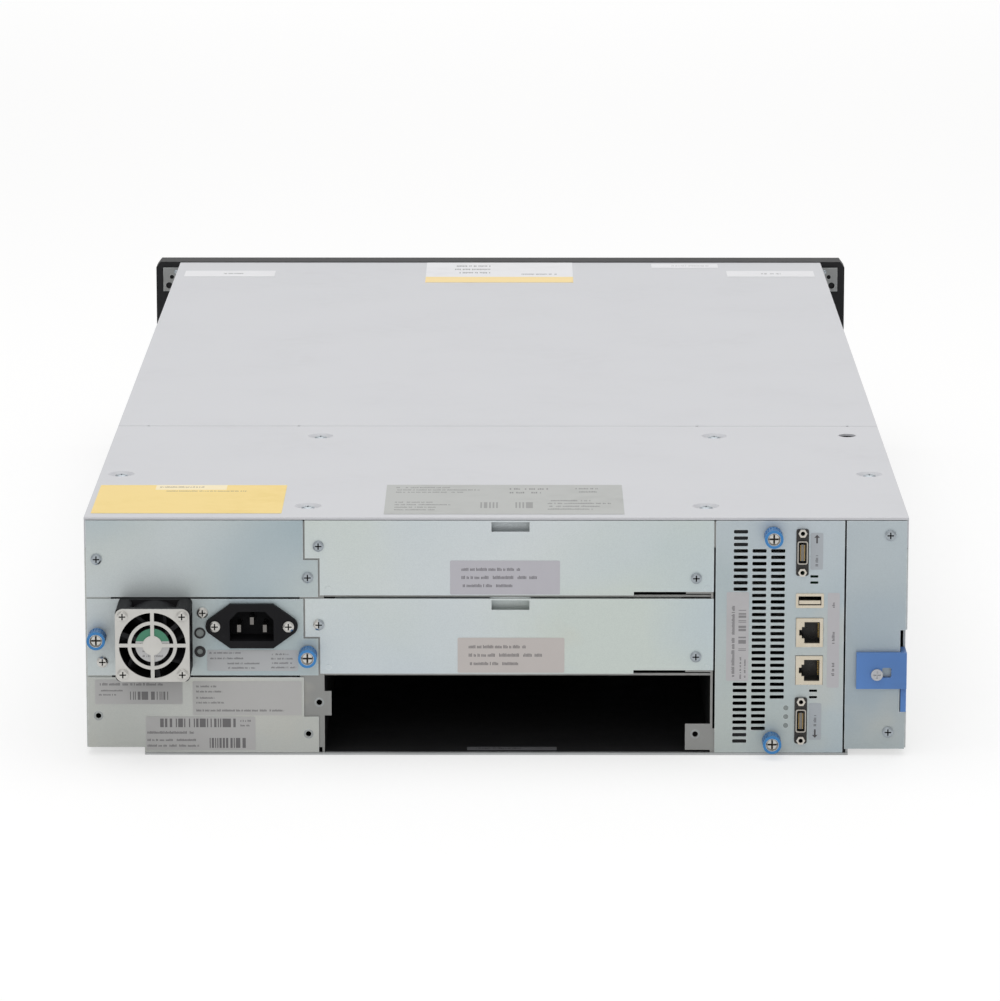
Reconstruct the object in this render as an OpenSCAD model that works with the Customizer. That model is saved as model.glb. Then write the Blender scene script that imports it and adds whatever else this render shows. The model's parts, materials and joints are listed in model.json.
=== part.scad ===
// Rack-mount data tape library, three rack units high.
// +Z is up, the operator's front faces -Y and the drive bays face +Y.
// The origin is at the middle of the box round the whole unit, on the underside.
// Most modules are drawn from the plane of the rear panels, which is y = 0 inside at_rear().

/* [Body] */
// Width of the sheet metal body
body_w = 446; // [440:1:456]
// Height of the body from the tray to the top cover
body_h = 132; // [131.6:0.2:134]
// Depth of the body from the back of the bezel to the rear panels
body_d = 873; // [860:1:900]
// Thickness of the sheet metal
sheet_t = 1.2; // [1:0.1:1.4]
// Height of the side walls' lower edge above the tray
side_lift = 4; // [3:0.5:5]
// Width of the raised strip beside the floor tray
tray_inset = 31.5; // [28:0.5:34]
// Height of the top covers' side flanges
cover_flange = 17; // [14:1:22]
// Depth of the dimples round the top cover screws
dimple_depth = 1; // [0.8:0.1:1.4]
// Length of the fixed rear part of the top cover
rear_cover_d = 264; // [258:1:280]
// Distance between the rear panels and the drive bulkhead
bay_depth = 246; // [236:1:252]

/* [Rear panels] */
// Height from one row of modules to the next
row_pitch = 43.6; // [43:0.1:43.7]
// Height of the lowest row's base
row_base = 1.3; // [1:0.1:1.5]
// Height of a panel in the supply column
supply_panel_h = 42.5; // [41.5:0.1:42.6]
// Height of a drive bay cover
bay_panel_h = 41.7; // [41:0.1:41.8]
// Width of the supply column
supply_w = 125.5; // [122:0.5:128]
// Width of the drive bay covers
bay_cover_w = 213.4; // [208:0.2:218]
// Width of the controller panel
controller_w = 69.7; // [66:0.1:72]
// Gap between neighbouring panels
panel_gap = 1; // [0.6:0.1:1.4]
// Distance between the body's side and the panels
panel_inset = 0.9; // [0.5:0.1:1.4]
// Width of the tongue that carries a panel's screw
tongue_w = 8; // [7:0.5:9]
// Height of the tongue's edge above the row's base
tongue_h = 20; // [18:0.5:22]
// Depth of the folded lips on the panels
lip_d = 8; // [5:0.5:12]

/* [Power supply] */
// Depth of the supply's case
supply_case_d = 224; // [180:2:228]
// Side of the square fan
fan_size = 40; // [38:0.5:40]
// Thickness of the fan
fan_t = 27.2; // [20:0.1:28]
// Diameter of the fan's duct
fan_bore = 37; // [34:0.5:37]
// Number of fan blades
fan_blades = 7; // [5:1:9]
// Spacing of the fan's screws
fan_screw_pitch = 32; // [31:0.5:32.5]
// Thickness of the fan guard
guard_t = 0.8; // [0.6:0.1:1.2]
// Width of the inlet's flange
inlet_w = 50; // [48:0.5:52]
// Height of the inlet's flange
inlet_h = 24.4; // [24:0.2:26]
// Spacing of the inlet's screws
inlet_screw_pitch = 40; // [39:0.5:41]
// Depth of the inlet's body behind the panel
inlet_depth = 22; // [20:0.5:26]

/* [Controller] */
// Width of a vent slot
vent_w = 7.7; // [6:0.1:8.4]
// Height of a vent slot
vent_h = 2; // [1.4:0.1:2.4]
// Height from one vent slot to the next
vent_pitch = 3.53; // [3.4:0.01:3.56]
// Distance from one column of vent slots to the next
vent_column_pitch = 10.1; // [9.6:0.1:10.4]
// Width of a network socket, across its contacts
network_w = 16; // [15.4:0.1:16.4]
// Height of a network socket above its board
network_h = 14.6; // [13.6:0.1:15]

/* [Alignment mechanism] */
// Travel of the alignment lever
lever_travel = 11; // [8:0.5:11]
// Height of the lever's grip
lever_h = 20; // [18:0.5:21]
// Diameter of the alignment hole in the top cover
align_hole_d = 10; // [9.6:0.1:12]
// Diameter of the alignment pin
align_pin_d = 9; // [8:0.1:9.2]

/* [Cartridges] */
// Width of a tape cartridge
cartridge_w = 102; // [100:0.5:102.4]
// Length of a tape cartridge
cartridge_l = 105.4; // [104:0.2:106]
// Thickness of a tape cartridge
cartridge_t = 21.5; // [20:0.1:21.6]

/* [Magazines] */
// Columns of slots in a magazine
slot_columns = 4; // [3:1:4]
// Rows of slots in a magazine
slot_rows = 5; // [4:1:5]
// Height from one slot to the next
slot_pitch = 22.8; // [22.7:0.1:22.9]
// Clear width of a slot
slot_w = 103.4; // [103:0.1:104]
// Thickness of the magazine's upright walls
wall_t = 2; // [1.6:0.1:2.4]
// Thickness of the magazine's shelves
shelf_t = 1; // [0.8:0.1:1.1]
// Height of the lowest cartridge's underside
slot_z = 12.5; // [12.4:0.1:13]
// Width of the aisle between the two magazines' cartridges
aisle_w = 216; // [214:1:218]
// Distance from the bezel's back to the first column's middle
first_column = 109; // [106:1:112]

/* [Robot] */
// Tooth module of every gear and rack
tooth_module = 1; // [0.9:0.05:1.05]
// Number of teeth on each lifting pinion
lift_teeth = 14; // [13:1:15]
// Number of teeth on the travel pinion
travel_teeth = 16; // [14:1:18]
// Width of the picker's tray
picker_w = 115; // [113:0.5:116]
// Length of the picker's tray
picker_l = 124; // [122:1:126]
// Diameter of the lifting shafts
lift_shaft_d = 5; // [4:0.2:5]
// Distance of each lifting shaft from the middle
lift_shaft_x = 96; // [95.5:0.5:98]

/* [Bezel] */
// Thickness of the bezel
bezel_t = 19; // [16:0.5:24]
// Width of the bezel at its widest
bezel_w = 480; // [476:1:483]
// Width of the bezel's top edge
bezel_top_w = 474; // [468:1:476]
// Height of the bezel
bezel_h = 132.5; // [131.6:0.1:133]
// Distance between the rack screws on the two sides
rack_hole_w = 465; // [463:0.5:466]
// Height from the lower to the upper rack screw
rack_hole_pitch = 57.15; // [50:0.05:76.2]
// Diameter of the rack screw holes
rack_hole_d = 7; // [6:0.2:8]
// Width of the operator panel
operator_w = 190; // [160:2:196]

/* [Fasteners] */
// Diameter of the small screws' threads
screw_d = 3; // [2.6:0.1:3]
// Diameter of the small screws' heads
screw_head_d = 6; // [5.4:0.1:6.4]
// Height of the small screws' heads
screw_head_h = 1.5; // [1.2:0.1:1.8]
// Diameter of a thumbscrew's knurled head
thumb_d = 10; // [9:0.2:11]
// Length of a thumbscrew's knurled head
thumb_l = 11.6; // [9:0.2:14]

/* [Clearances] */
// Gap between parts that move past each other
slide_gap = 0.3; // [0.3:0.05:0.4]
// Gap round a shaft that turns in its bearing
bearing_gap = 0.05; // [0.03:0.01:0.1]
// Gap round a screw in its clearance hole
screw_gap = 0.2; // [0.15:0.05:0.3]

/* [Hidden] */

$fn = 48;
eps = 0.01;
t = sheet_t;
half_w = body_w / 2;
front_y = -body_d;

// Overall depth, and the place of the rear panels in it
rear_reach = fan_t + guard_t + screw_head_h;
overall_d = bezel_t + body_d + rear_reach;
rear_y = overall_d / 2 - rear_reach;

// Heights shared by the covers and what carries them
seat_z = body_h - t - dimple_depth;
flange_z = body_h - cover_flange;
panel_top = body_h - t - 0.4;

// Edges of the rear columns, from the supply side to the alignment side
supply_x1 = half_w - panel_inset;
supply_x0 = supply_x1 - supply_w;
bay_x1 = supply_x0 - panel_gap;
bay_x0 = bay_x1 - bay_cover_w;
control_x1 = bay_x0 - panel_gap;
control_x0 = control_x1 - controller_w;
align_x1 = control_x0 - panel_gap;
align_x0 = -half_w + panel_inset;

// Inner faces of the drive bays
bay_in1 = bay_x1 - 2.1;
bay_in0 = bay_x0 + 1.4;

// Places of the screws and thumbscrews above the row's base
outer_screw_z = 21;
inner_screw_z = 10.9;
bay_screw_high = 27.8;
bay_screw_low = 10.1;
thumb_outer_z = 21.2;
thumb_inner_z = 11.4;
outer_screw_x = supply_x1 - 5.6;
inner_screw_x = supply_x0 + 5.6;
bay_screw_x1 = bay_x1 + 0.7;
bay_screw_x0 = bay_x0 + 9.5;
tapped_r = screw_d / 2 + 0.05;
clear_r = screw_d / 2 + screw_gap;

function row_z(k) = row_base + k * row_pitch;
function supply_z(k) = row_z(k) - 0.5;
function bay_z(k) = row_z(k) + 0.5;

// Fan, inlet and lights on the supply panel
fan_x = supply_x1 - 37.3;
fan_z = row_z(1) + 22.6;
inlet_x = supply_x0 + 36;
inlet_z = row_z(1) + 27.4;
inlet_hole_w = 28;
inlet_hole_h = 20.6;
inlet_flange_t = 3;
inlet_recess_d = 18;
supply_light_x = inlet_x + 28.2;
supply_light_z = [row_z(1) + 12.8, row_z(1) + 23.1];
supply_light_d = 5.4;
case_screw_x = [supply_x1 - 8.2, supply_x1 - 62.8];
case_screw_z = [row_z(1) + 7, row_z(1) + 34.4];

// Controller features
port_x = control_x1 - 46.8;
port_z = [113, 19.5];
port_h = 25.8;
port_screw_pitch = 21.6;
network_x = control_x1 - 51.1;
network_z = [68.5, 47.5];
usb_z = 86.2;
usb_w = 15.2;
usb_h = 8;
control_thumb_x = control_x1 - 30.9;
control_thumb_z = [122.4, 8.5];
control_light_x = control_x1 - 38.7;
control_light_z = [26.4, 21.5, 16.6];
control_light_d = 2.8;
vent_x = control_x1 - 13.5;
vent_top = 124.3;
vent_runs = [[0, 0, 9], [0, 24, 33], [1, 3, 31], [2, 3, 26]];
board_x = network_x - network_h / 2;

// Alignment mechanism
align_screw_x = align_x0 + 9;
align_screw_z = [122.4, 13];
lever_z = 37.8;
lever_slot_z0 = 24.2;
lever_slot_z1 = lever_z + lever_h + lever_travel + 1;
lever_x1 = align_x1 - 5.9;
lever_leg_t = 3;
bar_t = 2;
align_pin_x = -half_w + 19.4;
align_pin_y = 10.6 - bay_depth;
pin_top = body_h - t - 0.6;
lever_screw_x = lever_x1 - 11.1;

// Magazines and aisle, drawn from the rear panels' plane
cartridge_x = aisle_w / 2;
cartridge_back = cartridge_x + cartridge_l;
grip_reach = 9;
mag_x0 = cartridge_x + grip_reach;
mag_x1 = cartridge_back + wall_t;
column_pitch = slot_w + wall_t;
column_y = front_y + first_column;
mag_y0 = column_y - slot_w / 2 - wall_t;
mag_y1 = mag_y0 + slot_columns * column_pitch + wall_t;
mag_z0 = slot_z - 1.5;
mag_z1 = slot_z + (slot_rows - 1) * slot_pitch + cartridge_t + 2.2;
mag_front_z0 = 5;
mag_front_z1 = bezel_h - 5;
mag_front_x0 = operator_w / 2 + 6;
mag_front_x1 = mag_x1 + 3;

// Robot
lift_r = tooth_module * lift_teeth / 2;
travel_r = tooth_module * travel_teeth / 2;
lift_travel = (slot_rows - 1) * slot_pitch;
lift_shaft_z = t + 0.3 + lift_r + tooth_module;
rail_x = 82;
rail_w = 5.5;
rail_z0 = t + 1.3;
rail_z1 = rail_z0 + 7.5;
beam_w = 12;
platform_y0 = front_y + 3;
platform_y1 = -bay_depth - 8;
rack_x = lift_shaft_x + lift_r;
rack_depth = 12;
rack_z1 = slot_z + lift_travel + 22;
rack_y = [platform_y0 + 1, platform_y1 - 1 - rack_depth];
tray_r = sqrt(pow(picker_l / 2, 2) + pow(picker_w / 2, 2));
carriage_y = (column_y + platform_y1 - tray_r - 1) / 2;
plate_z0 = rail_z0 + 1;
plate_z1 = plate_z0 + 3;
plate_y = [-44, 60];
disc_z0 = plate_z1 + 0.5;
disc_r = 48;
tray_z0 = rail_z1 + 0.8;
tray_floor = tray_z0 + 1.5;
tray_wall = 1.5;
tray_z1 = slot_z + cartridge_t + 1.8;
pivot_r = 6;
travel_x = rail_x - travel_r;
motor_r = 9.5;
travel_dy = -sqrt(pow(tray_r + motor_r + 1, 2) - pow(travel_x, 2));
arm_t = 2.6;
grip_block = 12;

// Operator panel
panel_y = front_y - bezel_t;
display_w = 78;
display_h = 46;
display_x = -34;
display_z = 90;
button_r = 6.5;
button_z = 34;
button_places = [[operator_w / 2 - 22, display_z], [display_x + 40, button_z],
                 [display_x, button_z], [display_x - 24, button_z]];
operator_light_r = 1.7;
operator_light_x = [for (k = [0:3]) operator_w / 2 - 34 + k * 8];
operator_light_z = 50;
key_board_y = 5.2;

// Centres of the rear cover's dimpled screws, and the dimples' upper and lower radii
cover_screw_places = [
    [half_w - 12.1, -120.3], [bay_in1 + 9.4, 12.5 - bay_depth], [bay_in1 + 9.4, -31.5],
    [bay_in0 - 9.7, 12.5 - bay_depth], [-half_w + 13.8, -120.3], [bay_in0 + 2, -31.5]];
dimple_r0 = 7.4;
dimple_r1 = 5.2;

/* ---------- shared shapes ---------- */

// Moves children from the rear panels' frame to the unit's frame
module at_rear() {
    translate([0, rear_y, 0]) children();
}

// Block between two x, two y and two z values
module box(x, y, z) {
    translate([min(x), min(y), min(z)])
        cube([abs(x[1] - x[0]), abs(y[1] - y[0]), abs(z[1] - z[0])]);
}

// Upright plate from an outline in x and z, with its outer face at y
module plate(thickness, y = 0) {
    translate([0, y, 0]) rotate([90, 0, 0]) linear_extrude(thickness) children();
}

// Rod along y from y0 to y1
module rod_y(r, x, z, y0, y1) {
    translate([x, y0, z]) rotate([-90, 0, 0]) cylinder(r = r, h = y1 - y0);
}

// Rod along z from z0 to z1
module rod_z(r, x, y, z0, z1) {
    translate([x, y, z0]) cylinder(r = r, h = z1 - z0);
}

// Mirrors children across the middle plane when s is -1
module on_side(s) {
    if (s < 0) {
        mirror([1, 0, 0]) children();
    } else {
        children();
    }
}

// Rectangle between two corners
module rect(x, z) {
    translate([min(x), min(z)]) square([abs(x[1] - x[0]), abs(z[1] - z[0])]);
}

// Rectangle with round corners, about a centre
module soft_rect(w, h, r) {
    square([w - 2 * r, h], center = true);
    square([w, h - 2 * r], center = true);
    for (sx = [-1, 1], sz = [-1, 1])
        translate([sx * (w / 2 - r), sz * (h / 2 - r)]) circle(r);
}

// Cross recess cut from above into a head
module cross_recess(size, depth) {
    for (a = [0, 90])
        rotate([0, 0, a]) translate([-size / 2, -size / 10, -depth]) cube([size, size / 5, depth + eps]);
}

// Pan head screw along +y: the head stands out from y = 0 and the shank runs inwards
module pan_screw(x, z, shank, y = 0) {
    translate([x, y, z]) rotate([-90, 0, 0]) {
        difference() {
            union() {
                cylinder(d = screw_head_d, h = screw_head_h * 0.6);
                translate([0, 0, screw_head_h * 0.6])
                    cylinder(d1 = screw_head_d, d2 = screw_head_d * 0.7, h = screw_head_h * 0.4);
            }
            translate([0, 0, screw_head_h]) cross_recess(screw_head_d * 0.6, screw_head_h * 0.6);
        }
        translate([0, 0, -shank]) cylinder(d = screw_d, h = shank);
    }
}

// Outline of an involute gear of the shared tooth module
function involute(base, u) = [base * (cos(u) + u * PI / 180 * sin(u)), base * (sin(u) - u * PI / 180 * cos(u))];
function turned(p, a) = [p[0] * cos(a) - p[1] * sin(a), p[0] * sin(a) + p[1] * cos(a)];
function flipped(p) = [p[0], -p[1]];

module gear_outline(teeth) {
    pressure = 20;
    backlash = 0.2;
    pitch_r = tooth_module * teeth / 2;
    base = pitch_r * cos(pressure);
    tip = pitch_r + tooth_module * 0.9;
    root = pitch_r - tooth_module * 1.25;
    u_pitch = tan(pressure) * 180 / PI;
    u_tip = sqrt(pow(tip / base, 2) - 1) * 180 / PI;
    half_tooth = 90 / teeth - backlash / 2 / pitch_r * 180 / PI + u_pitch - pressure;
    flank = [for (i = [0:4]) turned(involute(base, u_tip * i / 4), -half_tooth)];
    tooth = concat([turned([root, 0], -half_tooth)], flank,
                   [for (i = [4:-1:0]) flipped(flank[i])], [turned([root, 0], half_tooth)]);
    polygon([for (k = [0:teeth - 1], p = tooth) turned(p, k * 360 / teeth)]);
}

// Rack profile: teeth point to +y of the drawing, the pitch line is y = 0, a tooth gap is at x = shift
module rack_outline(length, back, shift) {
    pitch = PI * tooth_module;
    slope = tan(20) * tooth_module;
    half_gap = pitch / 4;
    first = ceil(-shift / pitch + 0.6);
    last = floor((length - shift) / pitch - 0.6);
    gaps = [for (k = [first:last], p = [[-half_gap - slope * 0.8, 0.8], [-half_gap + slope * 1.25, -1.25],
                                        [half_gap - slope * 1.25, -1.25], [half_gap + slope * 0.8, 0.8]])
            [shift + k * pitch + p[0], p[1] * tooth_module]];
    ends = [[length, 0.8 * tooth_module], [length, -back]];
    polygon(concat([[0, -back], [0, 0.8 * tooth_module]], gaps, ends));
}

/* ---------- sheet metal body ---------- */

// Floor tray with its raised strips
module base_pan() {
    tray = half_w - tray_inset;
    color("gainsboro") at_rear() {
        difference() {
            box([-tray, tray], [front_y, 0], [0, t]);
            for (sx = [-1, 1], k = [0:5])
                translate([sx * 150, front_y + 120 + k * 12, -eps])
                    linear_extrude(t + 2 * eps) soft_rect(40, 4, 1.6);
        }
        for (s = [-1, 1]) on_side(s) {
            box([tray - t, tray], [front_y, -t], [0, side_lift + 2 * t]);
            box([tray - t, half_w - t - 0.2], [front_y, -t], [side_lift + t, side_lift + 2 * t]);
        }
    }
}

// Side wall: lower wall, joggle under the cover's flange, upper wall, top and bottom flanges
module side_wall(rear_flange_w) {
    inner = half_w - 2 * t - 0.1;
    box([half_w - t, half_w], [front_y, -t], [side_lift, flange_z - 0.4]);
    box([inner, half_w], [front_y, -t], [flange_z - 0.4 - t, flange_z - 0.4]);
    box([inner, inner + t], [front_y, -t], [flange_z - 0.4 - t, seat_z]);
    box([half_w - 18, inner + t], [front_y, -t], [seat_z - t, seat_z]);
    box([half_w - tray_inset + t, half_w], [front_y, -t], [side_lift, side_lift + t]);
    box([half_w - rear_flange_w, half_w - t / 2], [-2 * t, -t], [side_lift + 2 * t, flange_z - 0.4 - t / 2]);
    box([half_w - rear_flange_w, inner + t / 2], [-2 * t, -t], [flange_z - 0.4 - t, seat_z - t / 2]);
}

module right_side_panel() {
    color("gainsboro") at_rear() difference() {
        side_wall(14);
        for (k = [0, 2]) rod_y(tapped_r, outer_screw_x, supply_z(k) + outer_screw_z, -3 * t, 0);
        rod_y(screw_d / 2 + bearing_gap, outer_screw_x, row_z(1) + thumb_outer_z, -3 * t, 0);
        rod_y(clear_r, case_screw_x[0], case_screw_z[0], -3 * t, 0);
        rod_z(tapped_r, cover_screw_places[0][0], cover_screw_places[0][1], seat_z - 2 * t, body_h);
    }
}

module left_side_panel() {
    color("gainsboro") at_rear() difference() {
        mirror([1, 0, 0]) side_wall(16);
        for (z = align_screw_z) rod_y(tapped_r, align_screw_x, z, -3 * t, 0);
        box([-half_w - 1, -half_w + 6.5], [-14, 1], [lever_slot_z0, lever_slot_z1]);
        rod_z(tapped_r, cover_screw_places[4][0], cover_screw_places[4][1], seat_z - 2 * t, body_h);
        rod_z(align_hole_d / 2 + 0.5, align_pin_x, align_pin_y, seat_z - 2 * t, body_h);
    }
}

// Flat cover with its two side flanges
module cover_sheet(y0, y1) {
    box([-half_w, half_w], [y0, y1], [body_h - t, body_h]);
    for (s = [-1, 1]) on_side(s)
        box([half_w - t, half_w], [y0, min(y1, -t - 0.1)], [flange_z, body_h - t / 2]);
}

// Half-round reliefs along the seam between the two covers
module seam_reliefs() {
    for (sx = [-1, 1], x = [half_w - 17.7, 117])
        translate([sx * x, -rear_cover_d - 0.3, body_h - 2 * t]) cylinder(r = 1.1, h = 3 * t);
}

module rear_top_cover() {
    color("lightgray") at_rear() difference() {
        union() {
            cover_sheet(-rear_cover_d, 0);
            for (p = cover_screw_places) translate([p[0], p[1], seat_z])
                cylinder(r1 = dimple_r1, r2 = dimple_r0, h = dimple_depth + eps);
        }
        for (p = cover_screw_places) translate([p[0], p[1], seat_z + 0.6])
            cylinder(r1 = dimple_r1, r2 = dimple_r0, h = dimple_depth + t - 0.6 + eps);
        for (p = cover_screw_places) translate([p[0], p[1], seat_z - 1]) cylinder(r = clear_r, h = 3);
        translate([align_pin_x, align_pin_y, body_h - 2 * t]) cylinder(d = align_hole_d, h = 3 * t);
        seam_reliefs();
    }
}

module front_top_cover() {
    color("lightgray") at_rear() {
        difference() {
            cover_sheet(front_y, -rear_cover_d - 0.6);
            seam_reliefs();
        }
        box([-half_w + 22, half_w - 22], [front_y, front_y + t], [body_h - 3.4, body_h - t / 2]);
        for (s = [-1, 1]) on_side(s)
            box([half_w - 18, half_w - 2 * t - 1], [front_y + 6, -rear_cover_d - 6], [seat_z, body_h - t / 2]);
    }
}

module top_screws() {
    color("silver") at_rear() for (p = cover_screw_places) translate([p[0], p[1], seat_z + 0.6])
        difference() {
            union() {
                cylinder(r = 3.6, h = 0.8);
                translate([0, 0, 0.8]) cylinder(r1 = 3.6, r2 = 2.8, h = 0.5);
                translate([0, 0, -3.4]) cylinder(d = screw_d, h = 3.4);
            }
            translate([0, 0, 1.3]) cross_recess(3.6, 0.8);
        }
}

// Cross wall between the robot's aisle and the rear modules, with a mouth for each drive
module bulkhead() {
    inner = half_w - tray_inset - t - 0.1;
    outer = half_w - 2 * t - 0.2;
    color("silver") at_rear() plate(t, -bay_depth) difference() {
        union() {
            rect([-inner, inner], [t, seat_z - t]);
            rect([-outer, outer], [side_lift + 2 * t, seat_z - t]);
        }
        for (k = [0:2]) translate([0, row_z(k) + 22.5]) soft_rect(114, 30, 3);
        for (s = [-1, 1], k = [0:3]) translate([s * 160, 30 + k * 24]) soft_rect(60, 6, 2.4);
    }
}

// Upright wall on the supply side of the drive bays
module bay_wall_right() {
    x = bay_in1;
    color("silver") at_rear() difference() {
        union() {
            box([x, x + t], [-bay_depth, -t], [t, seat_z]);
            box([x, x + 18], [-bay_depth, -10], [seat_z - t, seat_z]);
            box([x, x + 10], [-bay_depth, -10], [t, 2 * t]);
            box([x, supply_x0 + 10], [-2 * t, -t], [side_lift, seat_z - 0.1]);
            for (k = [0:2]) box([x - 3.8, x + t], [-2 * t, -t], [row_z(k) + 20.5, row_z(k) + 34]);
        }
        for (k = [0:2]) rod_y(tapped_r, bay_screw_x1, row_z(k) + bay_screw_high, -3 * t, 0);
        for (k = [0, 2]) rod_y(tapped_r, inner_screw_x, supply_z(k) + inner_screw_z, -3 * t, 0);
        rod_y(screw_d / 2 + bearing_gap, inner_screw_x, row_z(1) + thumb_inner_z, -3 * t, 0);
        for (p = [cover_screw_places[1], cover_screw_places[2]])
            translate([p[0], p[1], seat_z - 2 * t]) cylinder(r = tapped_r, h = 3 * t);
    }
}

// Upright wall on the controller side of the drive bays, with arms that carry the controller
module bay_wall_left() {
    x = bay_in0;
    arm_x = max(align_x1 - 6, tray_inset + t + 0.2 - half_w);
    color("silver") at_rear() difference() {
        union() {
            box([x - t, x], [-bay_depth, -t], [t, seat_z]);
            box([x - 16, x + 9], [-bay_depth, -10], [seat_z - t, seat_z]);
            box([x - 10, x], [-bay_depth, -10], [t, 2 * t]);
            for (k = [0:2]) box([x - t, x + 13.6], [-2 * t, -t], [row_z(k) + 1.3, row_z(k) + 15.8]);
            box([arm_x, x], [-2 * t, -t], [control_thumb_z[0] - 7, seat_z - 0.1]);
            box([arm_x, x], [-2 * t, -t], [t, control_thumb_z[1] + 6]);
        }
        for (k = [0:2]) rod_y(tapped_r, bay_screw_x0, row_z(k) + bay_screw_low, -3 * t, 0);
        for (z = control_thumb_z) rod_y(screw_d / 2 + bearing_gap, control_thumb_x, z, -3 * t, 0);
        for (z = port_z)
            box([port_x - 4, port_x + 4], [-3 * t, 0], [z - port_h / 2 - 0.3, z + port_h / 2 + 0.3]);
        for (p = [cover_screw_places[3], cover_screw_places[5]])
            translate([p[0], p[1], seat_z - 2 * t]) cylinder(r = tapped_r, h = 3 * t);
    }
}

// Shelves between the three drive bays, with guide ribs for the drive sleds
module bay_shelves() {
    color("silver") at_rear() for (k = [1, 2]) {
        top = bay_z(k) - 0.2;
        box([bay_in0, bay_in1], [-bay_depth, -2 * t - 0.2], [top - t, top]);
        for (x = [bay_in0 + 6, bay_in1 - 7.5]) box([x, x + 1.5], [-bay_depth + 4, -30], [top - t / 2, top + 3]);
    }
}

// Rack ears behind the ends of the bezel
module ear_brackets() {
    color("darkgray") at_rear() for (s = [-1, 1], m = [0, 1]) on_side(s) {
        low = m == 0 ? side_lift : flange_z - 3;
        difference() {
            union() {
                box([half_w, half_w + 12], [front_y, front_y + 1.6], [low, low + 16.5]);
                box([half_w, half_w + 1.6], [front_y, front_y + 30], [low, low + 16.5]);
            }
            rod_y(2.3, half_w + 8, low + 4, front_y - 1, front_y + 3);
            rod_y(1.5, half_w + 6, low + 10, front_y - 1, front_y + 3);
        }
    }
}

/* ---------- rear panels ---------- */

// Outline of a panel in the supply column, stepped beside its inner screw
module supply_outline(k, z0) {
    z1 = min(supply_z(k) + supply_panel_h, panel_top);
    step = row_z(k) + tongue_h;
    polygon([[supply_x1, z0], [supply_x1, z1], [supply_x0 + tongue_w, z1], [supply_x0 + tongue_w, step],
             [supply_x0, step], [supply_x0, z0]]);
}

// Outline of a drive bay cover, stepped to fit beside the supply column
module bay_outline(k) {
    z0 = bay_z(k);
    z1 = min(z0 + bay_panel_h, panel_top);
    step = row_z(k) + tongue_h + panel_gap;
    difference() {
        polygon([[bay_x0, z0], [bay_x0, z1], [bay_x1 + tongue_w, z1], [bay_x1 + tongue_w, step],
                 [bay_x1, step], [bay_x1, z0]]);
        rect([-18, 2.6], [z1 - 6.2, z1 - 0.8]);
        rect([bay_x0 - 1, bay_x0 + 43.3], [z0 - 1, z0 + 2]);
    }
}

// Top and bottom lips folded inwards from a panel
module lips(x0, x1, z0, z1) {
    box([x0, x1], [-lip_d, -t / 2], [z1 - t, z1]);
    box([x0, x1], [-lip_d, -t / 2], [z0, z0 + t]);
}

module blank_cover() {
    z0 = supply_z(2);
    color("lightsteelblue") at_rear() {
        plate(t) difference() {
            supply_outline(2, z0);
            translate([outer_screw_x, z0 + outer_screw_z]) circle(clear_r);
            translate([inner_screw_x, z0 + inner_screw_z]) circle(clear_r);
        }
        lips(supply_x0 + 12, supply_x1 - 16, z0, min(z0 + supply_panel_h, seat_z - t));
    }
}

// Cover of the spare supply bay: it drops to the tray beside the raised strip
module spare_supply_cover() {
    z0 = side_lift + 0.2;
    color("lightsteelblue") at_rear() {
        plate(t) difference() {
            union() {
                supply_outline(0, z0);
                rect([supply_x0, half_w - tray_inset], [t + 0.2, z0 + 1]);
            }
            translate([outer_screw_x, supply_z(0) + outer_screw_z]) circle(tapped_r);
            translate([inner_screw_x, supply_z(0) + inner_screw_z]) circle(tapped_r);
        }
        lips(supply_x0 + 12, half_w - tray_inset - 2, z0 + 6, supply_z(0) + supply_panel_h);
    }
}

module bay_cover(k) {
    z0 = bay_z(k);
    z1 = min(z0 + bay_panel_h, panel_top);
    color("lightsteelblue") at_rear() {
        plate(t) difference() {
            bay_outline(k);
            translate([bay_screw_x1, row_z(k) + bay_screw_high]) circle(clear_r);
            translate([bay_screw_x0, row_z(k) + bay_screw_low]) circle(clear_r);
        }
        for (x = [bay_x0 + 3.4, bay_x1 - 4.5]) rod_y(1.5, x, row_z(k) + 4.1, -t / 2, 0.5);
        lip_z1 = min(z1, seat_z - t - 0.2);
        box([bay_in0 + 16, -20], [-lip_d, -t / 2], [lip_z1 - t, lip_z1]);
        box([4.6, bay_in1 - 6], [-lip_d, -t / 2], [lip_z1 - t, lip_z1]);
        box([-20, 4.6], [-lip_d, -lip_d + t], [z1 - 9, lip_z1]);
        box([-20, -20 + t], [-lip_d, -t / 2], [z1 - 9, lip_z1]);
        box([4.6 - t, 4.6], [-lip_d, -t / 2], [z1 - 9, lip_z1]);
        box([bay_x0 + 46, bay_in1 - 6], [-lip_d, -t / 2], [z0, z0 + t]);
    }
}

module bay_cover_upper() {
    bay_cover(2);
}

module bay_cover_middle() {
    bay_cover(1);
}

// Every cross-head screw on the rear, with those of the fan and the inlet
module cover_screws() {
    shank = 2 * t + 2;
    color("silver") at_rear() {
        pan_screw(outer_screw_x, supply_z(2) + outer_screw_z, shank);
        pan_screw(inner_screw_x, supply_z(2) + inner_screw_z, shank);
        for (k = [1, 2]) {
            pan_screw(bay_screw_x1, row_z(k) + bay_screw_high, shank);
            pan_screw(bay_screw_x0, row_z(k) + bay_screw_low, shank);
        }
        for (z = align_screw_z) pan_screw(align_screw_x, z, shank);
        for (i = [0, 1]) pan_screw(case_screw_x[i], case_screw_z[i], t + 1);
        for (s = [-1, 1]) pan_screw(inlet_x + s * inlet_screw_pitch / 2, inlet_z, 6, inlet_flange_t);
        for (sx = [-1, 1], sz = [-1, 1])
            pan_screw(fan_x + sx * fan_screw_pitch / 2, fan_z + sz * fan_screw_pitch / 2, 8, fan_t + guard_t);
    }
}

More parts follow.
